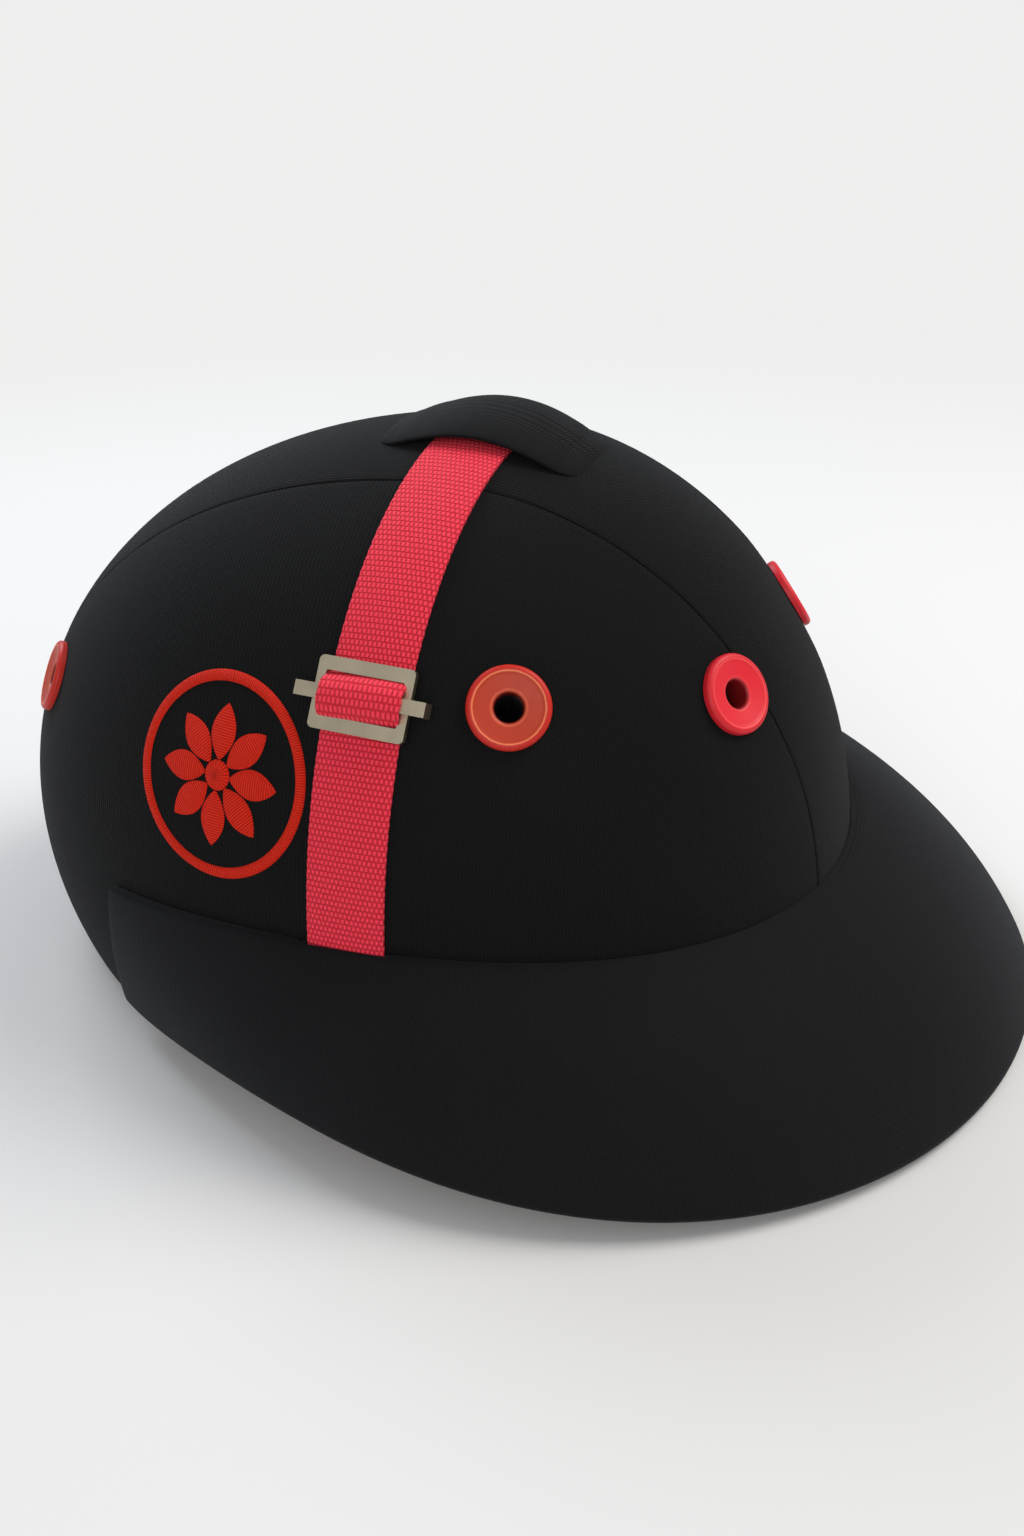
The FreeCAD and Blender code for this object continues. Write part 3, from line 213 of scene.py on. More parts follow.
def knitGroup():
    # fine knit: upright ribs crossed by shorter courses, with a little unevenness
    group, nodes, links, start, end = newGroup(
        "fineKnit",
        [("Pattern", "NodeSocketVector", None), ("Rib pitch", "NodeSocketFloat", 0.0011),
         ("Course pitch", "NodeSocketFloat", 0.0009)],
        [("Height", "NodeSocketFloat"), ("Fuzz", "NodeSocketFloat")],
    )
    split = addNode(nodes, "ShaderNodeSeparateXYZ")
    links.new(start.outputs["Pattern"], split.inputs[0])
    waves = []
    for axis, pitch in (("X", "Rib pitch"), ("Y", "Course pitch")):
        share = addNode(nodes, "ShaderNodeMath", operation="DIVIDE")
        links.new(split.outputs[axis], share.inputs[0])
        links.new(start.outputs[pitch], share.inputs[1])
        turn = addNode(nodes, "ShaderNodeMath", {1: 2 * math.pi}, operation="MULTIPLY")
        links.new(share.outputs[0], turn.inputs[0])
        wave = addNode(nodes, "ShaderNodeMath", operation="SINE")
        links.new(turn.outputs[0], wave.inputs[0])
        waves.append(wave)
    both = addNode(nodes, "ShaderNodeMath", operation="MULTIPLY")
    links.new(waves[0].outputs[0], both.inputs[0])
    links.new(waves[1].outputs[0], both.inputs[1])
    ribs = addNode(nodes, "ShaderNodeMath", {1: 0.6}, operation="MULTIPLY_ADD")
    links.new(waves[0].outputs[0], ribs.inputs[0])
    links.new(both.outputs[0], ribs.inputs[2])
    noise = addNode(nodes, "ShaderNodeTexNoise", {"Scale": 900.0, "Detail": 3.0})
    links.new(start.outputs["Pattern"], noise.inputs["Vector"])
    mixed = addNode(nodes, "ShaderNodeMath", operation="ADD")
    links.new(ribs.outputs[0], mixed.inputs[0])
    links.new(noise.outputs[0], mixed.inputs[1])
    links.new(mixed.outputs[0], end.inputs["Height"])
    links.new(noise.outputs[0], end.inputs["Fuzz"])
    return group


def webbingGroup():
    # woven webbing: rows of short raised floats, each row set half a float aside
    group, nodes, links, start, end = newGroup(
        "wovenFloats",
        [("Pattern", "NodeSocketVector", None), ("Float width", "NodeSocketFloat", 0.00135),
         ("Float length", "NodeSocketFloat", 0.0017)],
        [("Height", "NodeSocketFloat"), ("Gap", "NodeSocketFloat")],
    )
    gaps = {"Scale": 1.0, "Mortar Size": 0.00042, "Mortar Smooth": 1.0, "Bias": 0.0}
    bricks = addNode(nodes, "ShaderNodeTexBrick", gaps)
    bricks.offset = 0.5
    noise = addNode(nodes, "ShaderNodeTexNoise", {"Scale": 700.0, "Detail": 2.0})
    sway = addNode(nodes, "ShaderNodeVectorMath", operation="MULTIPLY_ADD")
    sway.inputs[1].default_value = (0.0003, 0.0003, 0)
    links.new(start.outputs["Pattern"], noise.inputs["Vector"])
    links.new(noise.outputs["Color"], sway.inputs[0])
    links.new(start.outputs["Pattern"], sway.inputs[2])
    links.new(sway.outputs[0], bricks.inputs["Vector"])
    links.new(start.outputs["Float width"], bricks.inputs["Brick Width"])
    links.new(start.outputs["Float length"], bricks.inputs["Row Height"])
    flip = addNode(nodes, "ShaderNodeMath", {0: 1.0}, operation="SUBTRACT")
    links.new(bricks.outputs["Fac"], flip.inputs[1])
    links.new(flip.outputs[0], end.inputs["Height"])
    links.new(bricks.outputs["Fac"], end.inputs["Gap"])
    return group


def unevenGroup():
    # slow change over a surface, for shade and wear
    group, nodes, links, start, end = newGroup(
        "slowShade",
        [("Scale", "NodeSocketFloat", 20.0)],
        [("Share", "NodeSocketFloat")],
    )
    place = addNode(nodes, "ShaderNodeTexCoord")
    noise = addNode(nodes, "ShaderNodeTexNoise", {"Detail": 4.0, "Roughness": 0.6})
    links.new(place.outputs["Object"], noise.inputs["Vector"])
    links.new(start.outputs["Scale"], noise.inputs["Scale"])
    links.new(noise.outputs[0], end.inputs["Share"])
    return group


fineKnit = knitGroup()
wovenFloats = webbingGroup()
slowShade = unevenGroup()


def placeGroup(nodes, group, **values):
    inputs = {name.replace("_", " "): value for name, value in values.items()}
    return addNode(nodes, "ShaderNodeGroup", inputs, node_tree=group)


def blendColours(nodes, links, share, low, high):
    ramp = addNode(nodes, "ShaderNodeMix", data_type="RGBA")
    ramp.inputs["A"].default_value = (*low, 1)
    ramp.inputs["B"].default_value = (*high, 1)
    links.new(share, ramp.inputs["Factor"])
    return next(out for out in ramp.outputs if out.type == "RGBA")


def clothMaterial(name, settings):
    material, nodes, links, shader = newMaterial(name)
    knit = placeGroup(nodes, fineKnit, Rib_pitch=settings["ribPitch"], Course_pitch=settings["coursePitch"])
    place = nodes.new("ShaderNodeTexCoord")
    links.new(place.outputs[settings["from"]], knit.inputs["Pattern"])
    slow = placeGroup(nodes, slowShade, Scale=settings["shadeScale"])
    mixed = addNode(nodes, "ShaderNodeMath", {1: 0.35}, operation="MULTIPLY_ADD")
    links.new(knit.outputs["Height"], mixed.inputs[0])
    links.new(slow.outputs[0], mixed.inputs[2])
    clamp = addNode(nodes, "ShaderNodeClamp")
    links.new(mixed.outputs[0], clamp.inputs[0])
    # the colour follows the knit's height, so the troughs between the ribs are painted shade, and the slow
    # change adds random tone
    colour = blendColours(nodes, links, clamp.outputs[0], settings["dark"], settings["light"])
    links.new(colour, shader.inputs["Base Color"])
    addBump(nodes, links, shader, knit.outputs["Height"], settings["bump"], settings["depth"])
    setInputs(shader, {
        "Roughness": settings["roughness"], "Specular IOR Level": settings["specular"],
        "Sheen Weight": settings["sheen"], "Sheen Roughness": 0.35,
        "Sheen Tint": (*settings["sheenTint"], 1),
    })
    return material


def webbingMaterial(name, settings):
    material, nodes, links, shader = newMaterial(name)
    width, length = settings["floatWidth"], settings["floatLength"]
    woven = placeGroup(nodes, wovenFloats, Float_width=width, Float_length=length)
    place = nodes.new("ShaderNodeTexCoord")
    links.new(place.outputs["UV"], woven.inputs["Pattern"])
    # the gaps between the floats take the darker colour, which is painted shade in the recesses of the
    # weave
    colour = blendColours(nodes, links, woven.outputs["Gap"], settings["raised"], settings["gap"])
    links.new(colour, shader.inputs["Base Color"])
    addBump(nodes, links, shader, woven.outputs["Height"], 0.75, 0.0005)
    setInputs(shader, {"Roughness": 0.68, "Specular IOR Level": 0.15, "Sheen Weight": 0.04})
    return material


def hardMaterial(name, settings):
    # moulded plastic, foam or metal: grain in the bump, and slow change of shade and gloss
    material, nodes, links, shader = newMaterial(name)
    slow = placeGroup(nodes, slowShade, Scale=settings["shadeScale"])
    colour = blendColours(nodes, links, slow.outputs[0], settings["dark"], settings["light"])
    links.new(colour, shader.inputs["Base Color"])
    glossSwing = 0.08
    ends = {"To Min": settings["roughness"] - glossSwing, "To Max": settings["roughness"] + glossSwing}
    rough = addNode(nodes, "ShaderNodeMapRange", ends)
    links.new(slow.outputs[0], rough.inputs["Value"])
    links.new(rough.outputs[0], shader.inputs["Roughness"])
    place = nodes.new("ShaderNodeTexCoord")
    grain = addNode(nodes, "ShaderNodeTexNoise", {"Scale": settings["grain"], "Detail": 2.0})
    links.new(place.outputs["Object"], grain.inputs["Vector"])
    addBump(nodes, links, shader, grain.outputs[0], settings["bump"], 0.0003)
    setInputs(shader, {"Metallic": settings["metallic"]})
    return material


cover = clothMaterial("domeKnit", {
    "ribPitch": 0.0011, "coursePitch": 0.0009, "from": "UV", "shadeScale": 9.0,
    "dark": (0.002, 0.002, 0.0021), "light": (0.0075, 0.0076, 0.0078), "bump": 0.4, "depth": 0.0003,
    "roughness": 0.9, "specular": 0.12, "sheen": 0.05, "sheenTint": (0.9, 0.94, 1.0),
})
peakCloth = clothMaterial("peakWeave", {
    "ribPitch": 0.0008, "coursePitch": 0.0008, "from": "UV", "shadeScale": 7.0,
    "dark": (0.0025, 0.0026, 0.003), "light": (0.0085, 0.0088, 0.0098), "bump": 0.4, "depth": 0.00025,
    "roughness": 0.85, "specular": 0.14, "sheen": 0.07, "sheenTint": (0.86, 0.92, 1.0),
})
liningCloth = clothMaterial("liningCloth", {
    "ribPitch": 0.0016, "coursePitch": 0.0016, "from": "Object", "shadeScale": 25.0,
    "dark": (0.030, 0.030, 0.032), "light": (0.075, 0.075, 0.080), "bump": 0.4, "depth": 0.0003,
    "roughness": 0.9, "specular": 0.2, "sheen": 0.15, "sheenTint": (1, 1, 1),
})
# each webbing's gap colour is painted shade between the floats
coralWebbing = webbingMaterial("coralWebbing", {
    "floatWidth": 0.00138, "floatLength": 0.0017,
    "raised": (0.97, 0.050, 0.090), "gap": (0.60, 0.014, 0.028),
})
blackWebbing = webbingMaterial("blackWebbing", {
    "floatWidth": 0.0013, "floatLength": 0.0016,
    "raised": (0.016, 0.016, 0.017), "gap": (0.004, 0.004, 0.004),
})
satinNickel = hardMaterial("satinNickel", {
    "shadeScale": 90.0, "dark": (0.44, 0.375, 0.26), "light": (0.62, 0.545, 0.40), "roughness": 0.34,
    "grain": 2600.0, "bump": 0.25, "metallic": 1.0,
})
platedWire = hardMaterial("platedWire", {
    "shadeScale": 60.0, "dark": (0.55, 0.55, 0.56), "light": (0.7, 0.7, 0.71), "roughness": 0.2,
    "grain": 900.0, "bump": 0.03, "metallic": 1.0,
})
blackRivet = hardMaterial("blackRivet", {
    "shadeScale": 80.0, "dark": (0.03, 0.03, 0.03), "light": (0.06, 0.06, 0.06), "roughness": 0.4,
    "grain": 1500.0, "bump": 0.1, "metallic": 1.0,
})
shellPlastic = hardMaterial("shellPlastic", {
    "shadeScale": 30.0, "dark": (0.012, 0.012, 0.013), "light": (0.022, 0.022, 0.024), "roughness": 0.45,
    "grain": 1200.0, "bump": 0.1, "metallic": 0.0,
})
beadFoam = hardMaterial("beadFoam", {
    "shadeScale": 60.0, "dark": (0.012, 0.012, 0.013), "light": (0.03, 0.03, 0.032), "roughness": 0.85,
    "grain": 380.0, "bump": 0.8, "metallic": 0.0,
})
softFoam = hardMaterial("softFoam", {
    "shadeScale": 60.0, "dark": (0.012, 0.012, 0.013), "light": (0.028, 0.028, 0.03), "roughness": 0.9,
    "grain": 1600.0, "bump": 0.6, "metallic": 0.0,
})
claspPlastic = hardMaterial("claspPlastic", {
    "shadeScale": 60.0, "dark": (0.01, 0.01, 0.011), "light": (0.022, 0.022, 0.024), "roughness": 0.42,
    "grain": 1800.0, "bump": 0.25, "metallic": 0.0,
})


def threadMaterial(name, settings):
    # satin stitches that lie side by side along V, each painted lighter on its crest as painted sheen and
    # darker between stitches as painted shade
    material, nodes, links, shader = newMaterial(name)
    place = nodes.new("ShaderNodeTexCoord")
    pitch = math.pi / 10 / settings["threadPitch"]
    bands = {"Scale": pitch, "Distortion": 1.2, "Detail": 2.0, "Detail Scale": 40.0}
    threads = addNode(nodes, "ShaderNodeTexWave", bands, wave_type="BANDS", bands_direction="Y")
    links.new(place.outputs["UV"], threads.inputs["Vector"])
    colour = blendColours(nodes, links, threads.outputs["Fac"], settings["dark"], settings["light"])
    links.new(colour, shader.inputs["Base Color"])
    addBump(nodes, links, shader, threads.outputs["Fac"], 0.8, 0.0004)
    setInputs(shader, {"Roughness": 0.6, "Specular IOR Level": 0.12})
    return material


redThread = threadMaterial("redThread", {
    "threadPitch": 0.0008, "dark": (0.56, 0.009, 0.003), "light": (0.95, 0.036, 0.010),
})
print("materials made")


# dome cover: three knit panels with rolled seams

panels = {
    "thickness": 0.0025,
    "halfWidth": 0.035,
    "endHalfWidth": 0.0275,
    "widestY": 0.022,
    "seamGap": 0.00025,
    "seamRoll": 0.0010,
    "rimFront": 0.036,
    "rimRear": 0.003,
    "riseStart": 0.105,
    "riseEnd": 0.035,
    "dimpleDepth": 0.0007,
    "dimpleReach": 0.026,
    "endShare": 0.08,
    "clothLength": 0.14,
    "clothDrop": 0.125,
    "stripRadius": 0.145,
}


def rimHeight(y):
    length = panels["riseStart"] - panels["riseEnd"]
    share = min(1, max(0, (y - dome["middleY"] - panels["riseEnd"]) / length))
    bend = 2 * share**2 if share < 0.5 else 1 - 2 * (1 - share) ** 2
    return panels["rimFront"] + (panels["rimRear"] - panels["rimFront"]) * bend


def seamHalfWidth(y):
    swell = panels["halfWidth"] - panels["endHalfWidth"]
    halfLength = (dome["frontReach"] + dome["rearReach"]) / 2
    radius = (halfLength**2 + swell**2) / (2 * swell)
    away = min(halfLength, abs(y - dome["middleY"] - panels["widestY"]))
    return panels["endHalfWidth"] + math.sqrt(radius**2 - away**2) - (radius - swell)


# azimuth in degrees and height of each pair
eyelets = {
    "front": (22, 0.124),
    "side": (63.7, 0.133),
    "rear": (162, 0.103),
}
eyeletSeats = []
for azimuth, height in eyelets.values():
    for side in (-1, 1):
        turn = math.radians(side * azimuth)
        seat = around(turn, domeReach(turn, height), height)
        eyeletSeats.append((seat, domeNormal(seat)))


def dimpled(point):
    # the cloth is drawn in a little round each eyelet
    for seat, normal in eyeletSeats:
        away = (point - seat).length / panels["dimpleReach"]
        if away < 1:
            point = point - normal * panels["dimpleDepth"] * (1 - away**2) ** 2
    return point


def seamTurn(way, height):
    # how far round the front (way -1) or the rear (way 1) the seam is at a height
    along = dome["frontReach"] if way < 0 else dome["rearReach"]
    y = dome["middleY"] + way * along
    for _ in range(9):
        seam = seamHalfWidth(y) + panels["seamGap"] / 2
        up = (height - dome["widest"]) / dome["rise"]
        share = math.sqrt(1 - up**2 - (seam / dome["halfWidth"]) ** 2)
        y = dome["middleY"] + way * along * share
    return way * math.asin(share)


frontCorner, rearCorner = seamTurn(-1, panels["rimFront"]), seamTurn(1, panels["rimRear"])
frontEnd, rearEnd = seamTurn(-1, dome["widest"]), seamTurn(1, dome["widest"])


def sideTurn(u):
    # the seam tucks in below the widest height, so each end runs past its corner
    end = panels["endShare"]
    if u < end:
        return frontCorner + (frontEnd - frontCorner) * math.sin(math.pi / 2 * (1 - u / end))
    if u > 1 - end:
        return rearCorner + (rearEnd - rearCorner) * math.sin(math.pi / 2 * (u - 1 + end) / end)
    return frontCorner + (rearCorner - frontCorner) * (u - end) / (1 - 2 * end)


def onSidePanel(side):
    def place(u, v):
        # u runs from the front end to the rear end, v from the seam down to the rim
        turn = sideTurn(u)
        along = dome["frontReach"] if turn < 0 else dome["rearReach"]
        y = dome["middleY"] + along * math.sin(turn)
        left = math.cos(turn)
        seam = seamHalfWidth(y) + panels["seamGap"] / 2
        top = math.acos(min(1, seam / (dome["halfWidth"] * left)))
        bottom = math.asin(max(-1, min(1, (rimHeight(y) - dome["widest"]) / (dome["rise"] * left))))
        bottom = max(-top, min(bottom, top))
        angle = top + (bottom - top) * v
        x = side * dome["halfWidth"] * left * math.cos(angle)
        point = Vector((x, y, dome["widest"] + dome["rise"] * left * math.sin(angle)))
        return dimpled(point), (turn * panels["clothLength"], angle * panels["clothDrop"])
    return place


def onCentrePanel(u, v):
    # u runs from right to left, v from the front rim over the crown to the rear rim
    y = dome["middleY"]
    for _ in range(4):
        x = (2 * u - 1) * (seamHalfWidth(y) - panels["seamGap"] / 2)
        left = math.sqrt(1 - (x / dome["halfWidth"]) ** 2)
        first = math.asin((panels["rimFront"] - dome["widest"]) / (dome["rise"] * left))
        last = math.pi - math.asin((panels["rimRear"] - dome["widest"]) / (dome["rise"] * left))
        angle = first + (last - first) * v
        along = dome["frontReach"] if angle < math.pi / 2 else dome["rearReach"]
        y = dome["middleY"] - along * left * math.cos(angle)
    point = Vector((x, y, dome["widest"] + dome["rise"] * left * math.sin(angle)))
    return dimpled(point), (x, angle * panels["stripRadius"])


def holeCutters(radius, low, high):
    # one object of six pegs, one through each eyelet
    pegs = []
    for seat, normal in eyeletSeats:
        selectOnly()
        middle = seat + normal * (low + high) / 2
        turn = normal.to_track_quat("Z", "Y").to_euler()
        bpy.ops.mesh.primitive_cylinder_add(
            vertices=32, radius=radius, depth=high - low, location=middle, rotation=turn
        )
        pegs.append(bpy.context.object)
    selectOnly(*pegs)
    bpy.ops.object.join()
    joined = bpy.context.object
    bpy.ops.object.transform_apply(location=True, rotation=True, scale=True)
    return joined


peg = {"radius": 0.0068, "low": -0.008, "high": 0.006}
pegs = holeCutters(peg["radius"], peg["low"], peg["high"])
# a point well inside the dome, which every panel faces away from
domeMiddle = Vector((0, dome["middleY"] + 0.02, dome["widest"]))
for name, word, across, along, place in (
    ("domePanelCentre", "cover_center_panel", 28, 120, onCentrePanel),
    ("domePanelRight", "cover_side_panel_right", 125, 56, onSidePanel(-1)),
    ("domePanelLeft", "cover_side_panel_left", 125, 56, onSidePanel(1)),
):
    panel = shapedGrid(name, across, along, place)
    turnOutwards(panel, domeMiddle)
    useModifier(panel, "SOLIDIFY", thickness=panels["thickness"], offset=-1)
    roundEdges(panel, panels["seamRoll"], 3)
    useModifier(panel, "BOOLEAN", object=pegs, operation="DIFFERENCE", solver="EXACT")
    smooth(panel, 45)
    finishPiece(panel, cover, "helmet", word)
bpy.data.objects.remove(pegs)
print("dome cover made")


# peak: one padded, cloth-covered brim round three sides

# reach, edge and bulge are given at the front, the quarter, the side and the end, line without the quarter
peak = {
    "reach": (0.184, 0.1668, 0.1342, 0.1322),
    "edge": (0.0, 0.003, 0.0142, 0.009),
    "bulge": (0.008, 0.00625, 0.0045, 0.0016),
    "line": (0.0555, 0.0645, 0.0576),
    "endAngle": 134,
    "endLean": 5,
    "core": 0.0026,
    "topCloth": 0.0013,
    "underCloth": 0.0009,
    "rootLift": 0.0032,
    "noseFullness": 0.9,
    "stations": 200,
    "strapGap": 0.0022,
    "strapNear": 0.014,
    "domeGap": 0.0003,
    "turnShare": 0.06,
    "rootSwell": 0.0007,
    "leanHeight": 0.13,
    "freeHeight": 0.005,
    "clothLength": 0.15,
    "clothAcross": 0.17,
    "endRound": 0.0011,
}


def cosineSeries(front, quarter, side, end):
    mean = (quarter + end) / 2
    second = mean - side
    oddSum = front - mean - second
    oddDifference = (quarter - end) / math.sqrt(2)
    return (mean, (oddSum + oddDifference) / 2, second, (oddSum - oddDifference) / 2)


def lineSeries(front, side, end):
    diagonal = math.sqrt(0.5)
    second = (end - side + (front - side) * diagonal) / (1 + 2 * diagonal)
    return (side + second, front - side - 2 * second, second)


def seriesAt(terms, turn):
    return sum(term * math.cos(order * turn) for order, term in enumerate(terms))


reachTerms = cosineSeries(*peak["reach"])
edgeTerms = cosineSeries(*peak["edge"])
bulgeTerms = cosineSeries(*peak["bulge"])
peakLine = lineSeries(*peak["line"])
noseRadius = peak["core"] / 2 + peak["topCloth"]


def peakSection(turn):
    # start, tip, centre and radius of the middle of the peak's section, as (reach, height)
    line = seriesAt(peakLine, turn)
    root = domeReach(turn, line) + peak["rootLift"]
    start = Vector((root, line))
    tip = Vector((seriesAt(reachTerms, turn), seriesAt(edgeTerms, turn) + noseRadius))
    slope = (tip - start).normalized()
    startMiddle = start - Vector((-slope.y, slope.x)) * noseRadius
    along = (tip - startMiddle).normalized()
    outward = Vector((-along.y, along.x))
    bulge = seriesAt(bulgeTerms, turn)
    chord = (tip - startMiddle).length
    radius = chord**2 / (8 * bulge) + bulge / 2
    centre = (tip + startMiddle) / 2 + outward * (bulge - radius)
    return start, tip, centre, radius


def onRootLine(start, centre, radius):
    height = start.y - centre.y
    return Vector((centre.x + math.sqrt(radius**2 - height**2), start.y))


def arcPoint(centre, radius, first, last, share):
    low = math.atan2(first.y - centre.y, first.x - centre.x)
    high = math.atan2(last.y - centre.y, last.x - centre.x)
    angle = low + (high - low) * share
    return centre + Vector((math.cos(angle), math.sin(angle))) * radius


def onPeak(u, v):
    # u runs round the section from the inner root over the top to the under side, v from end to end
    nominal = math.radians(peak["endAngle"]) * (2 * v - 1)
    start, tip, centre, radius = peakSection(nominal)
    outer = radius + peak["core"] / 2 + peak["topCloth"]
    inner = radius - peak["core"] / 2 - peak["underCloth"]
    top = onRootLine(start, centre, outer)
    low = onRootLine(start, centre, inner)
    up = (tip - centre).normalized()
    out = Vector((up.y, -up.x))
    turnShare = peak["turnShare"]
    arcShare = 0.5 - turnShare
    if u < turnShare:
        share = u / turnShare
        spot = low.lerp(top, share)
        spot.y += peak["rootSwell"] * math.sin(math.pi * share)
    elif u < 0.5:
        spot = arcPoint(centre, outer, top, tip, (u - turnShare) / arcShare)
    elif u < 0.5 + turnShare:
        turn = math.pi * (u - 0.5) / turnShare
        middle = tip + up * (peak["topCloth"] - peak["underCloth"]) / 2
        half = (peak["core"] + peak["topCloth"] + peak["underCloth"]) / 2
        spot = middle + up * half * math.cos(turn) + out * half * peak["noseFullness"] * math.sin(turn)
    else:
        spot = arcPoint(centre, inner, tip, low, (u - 0.5 - turnShare) / arcShare)
    drop = seriesAt(peakLine, nominal) - spot.y
    lean = math.tan(math.radians(peak["endLean"])) * drop / peak["leanHeight"]
    turn = nominal + (2 * v - 1) * lean
    # the brim makes room for the webbing where that runs down between it and the dome
    y = dome["middleY"] - spot.x * math.cos(turn)
    atStrap = abs(y - strapY(spot.x * math.sin(turn))) < peak["strapNear"]
    gap = peak["strapGap"] if atStrap else peak["domeGap"]
    reach = max(spot.x, domeReach(turn, spot.y) + gap) if spot.y > peak["freeHeight"] else spot.x
    return around(turn, reach, spot.y), (turn * peak["clothLength"], u * peak["clothAcross"])


brim = shapedGrid("peakBrim", 120, peak["stations"], onPeak)
selectOnly(brim)
bpy.ops.object.mode_set(mode="EDIT")
bpy.ops.mesh.select_all(action="DESELECT")
openEdges = {"use_wire": False, "use_multi_face": False, "use_non_contiguous": False, "use_verts": False}
bpy.ops.mesh.select_non_manifold(extend=False, **openEdges)
bpy.ops.mesh.edge_face_add()
bpy.ops.object.mode_set(mode="OBJECT")
recalculate(brim)
roundEdges(brim, peak["endRound"], 3, 65)
smooth(brim, 50)
finishPiece(brim, peakCloth, "helmet", "peak_top_cover", "peak_under_cover")
print("peak made")


# webbing over the crown, through the buckle and down to the hanger rings

strap = {
    "width": 0.024,
    "thickness": 0.0018,
    "sheet": 0.0014,
    "sink": 0.00005,
    "crowning": 0.00025,
    "edgeRound": 0.0005,
    "lowerHeight": 0.027,
    "endRise": 0.002,
    "scallop": 0.00008,
    "scallopPitch": 0.0034,
    "scallopShare": 0.1,
    "foldReach": 0.0062,
    "foldRise": 0.0062,
    "foldPower": 3.2,
    "buckleHeight": 0.1335,
    "rows": 620,
    "columns": 24,
    "loopRadius": 0.00175,
    "loopSheet": 0.0016,
    "loopRound": 0.0004,
}


def strapMiddle(angle, aside):
    # a point of the strap on the dome, at an angle from the crown and a distance aside of its middle line
    y = strapLine["crownY"]
    for _ in range(4):
        left = math.sqrt(1 - (y / (dome["frontReach"] if y < 0 else dome["rearReach"])) ** 2)
        x = dome["halfWidth"] * left * math.sin(angle)
        y = strapLine["crownY"] + strapLine["slant"] * abs(x) + aside
    return Vector((x, y + dome["middleY"], dome["widest"] + dome["rise"] * left * math.cos(angle)))


def angleAtHeight(height):
    # halving between two angles that take in every height of the strap's sides
    low, high = 0.2, 1.9
    for _ in range(40):
        middle = (low + high) / 2
        low, high = (middle, high) if strapMiddle(middle, 0).z > height else (low, middle)
    return low


lowestAngle = angleAtHeight(strap["lowerHeight"] + strap["endRise"])
buckleAngle = angleAtHeight(strap["buckleHeight"])
strapPieces = 400
strapAngles = [-lowestAngle + 2 * lowestAngle * step / strapPieces for step in range(strapPieces + 1)]
strapRun = [0]
for first, second in zip(strapAngles, strapAngles[1:]):
    strapRun.append(strapRun[-1] + (strapMiddle(second, 0) - strapMiddle(first, 0)).length)
runTotal = strapRun[-1]


def angleAtRun(run):
    low, high = 0, strapPieces
    while high - low > 1:
        middle = (low + high) // 2
        low, high = (middle, high) if strapRun[middle] <= run else (low, middle)
    part = (run - strapRun[low]) / max(1e-9, strapRun[high] - strapRun[low])
    return strapAngles[low] + (strapAngles[high] - strapAngles[low]) * part


buckleRun = min(zip(strapRun, strapAngles), key=lambda pair: abs(pair[1] + buckleAngle))[0]


def foldLift(run):
    # how high the webbing rises over the buckle's bar
    away = abs(run - buckleRun)
    if away >= strap["foldReach"]:
        return 0.0
    share = 1 - away / strap["foldReach"]
    return strap["foldRise"] * (1 - (1 - share) ** strap["foldPower"])


def onStrap(u, v):
    run = runTotal * v
    angle = angleAtRun(run)
    edge = 1 - abs(2 * u - 1)
    wave = math.cos(2 * math.pi * run / strap["scallopPitch"])
    scallop = strap["scallop"] * wave if edge < strap["scallopShare"] else 0
    aside = (2 * u - 1) * (strap["width"] / 2 + scallop - strap["scallop"])
    point = strapMiddle(angle, aside)
    crown = strap["crowning"] * (1 - (2 * u - 1) ** 4)
    point = point + domeNormal(point) * (crown + foldLift(run) - strap["sink"])
    return point, (u * strap["width"], run)


def webbingLoop(name, middle, inwards, upwards, settings):
    # the turn of webbing round the bar of a hanger ring
    reach = settings["loopRadius"]

    def place(u, v):
        turn = 2 * math.pi * v
        point = middle + inwards * reach * math.cos(turn) + upwards * reach * math.sin(turn)
        point.y += (u - 0.5) * settings["width"]
        return point, (u * settings["width"], turn * reach)

    loop = shapedGrid(name, settings["columns"], 24, place)
    turnOutwards(loop, middle)
    useModifier(loop, "SOLIDIFY", thickness=settings["loopSheet"], offset=1)
    roundEdges(loop, settings["loopRound"], 2)
    return loop


def strapFoot(side, height):
    x = side * (domeReach(math.pi / 2, strap["lowerHeight"]) + strap["thickness"] / 2)
    return Vector((x, strapY(x), height))


webbing = shapedGrid("crownWebbing", strap["columns"], strap["rows"], onStrap, closed=False)
turnOutwards(webbing, domeMiddle)
useModifier(webbing, "SOLIDIFY", thickness=strap["sheet"], offset=1, use_even_offset=False)
roundEdges(webbing, strap["edgeRound"], 2)

loops = []
for side in (-1, 1):
    foot = strapFoot(side, strap["lowerHeight"])
    loops.append(webbingLoop("webbingLoop", foot, Vector((1, 0, 0)), Vector((0, 0, 1)), strap))
selectOnly(webbing, *loops)
bpy.ops.object.join()
smooth(webbing, 50)
finishPiece(webbing, coralWebbing, "helmet", "crown_strap")
print("crown webbing made")


# crown hood: a padded arch that the webbing runs under

hood = {
    "length": 0.067,
    "middleY": -0.0078,
    "halfWidth": 0.0203,
    "rise": 0.0054,
    "opening": 0.0033,
    "openingLength": 0.050,
    "tipThickness": 0.0034,
    "tipPower": 2.4,
    "widthPower": 0.75,
    "risePower": 0.85,
    "endPower": 11,
    "tipShare": 0.7,
    "tipSink": 0.0012,
    "endWidth": 0.84,
    "sideBend": 0.6,
    "topBend": 0.75,
    "edgeRoll": 0.16,
    "stations": 90,
    "clothAcross": 0.09,
}


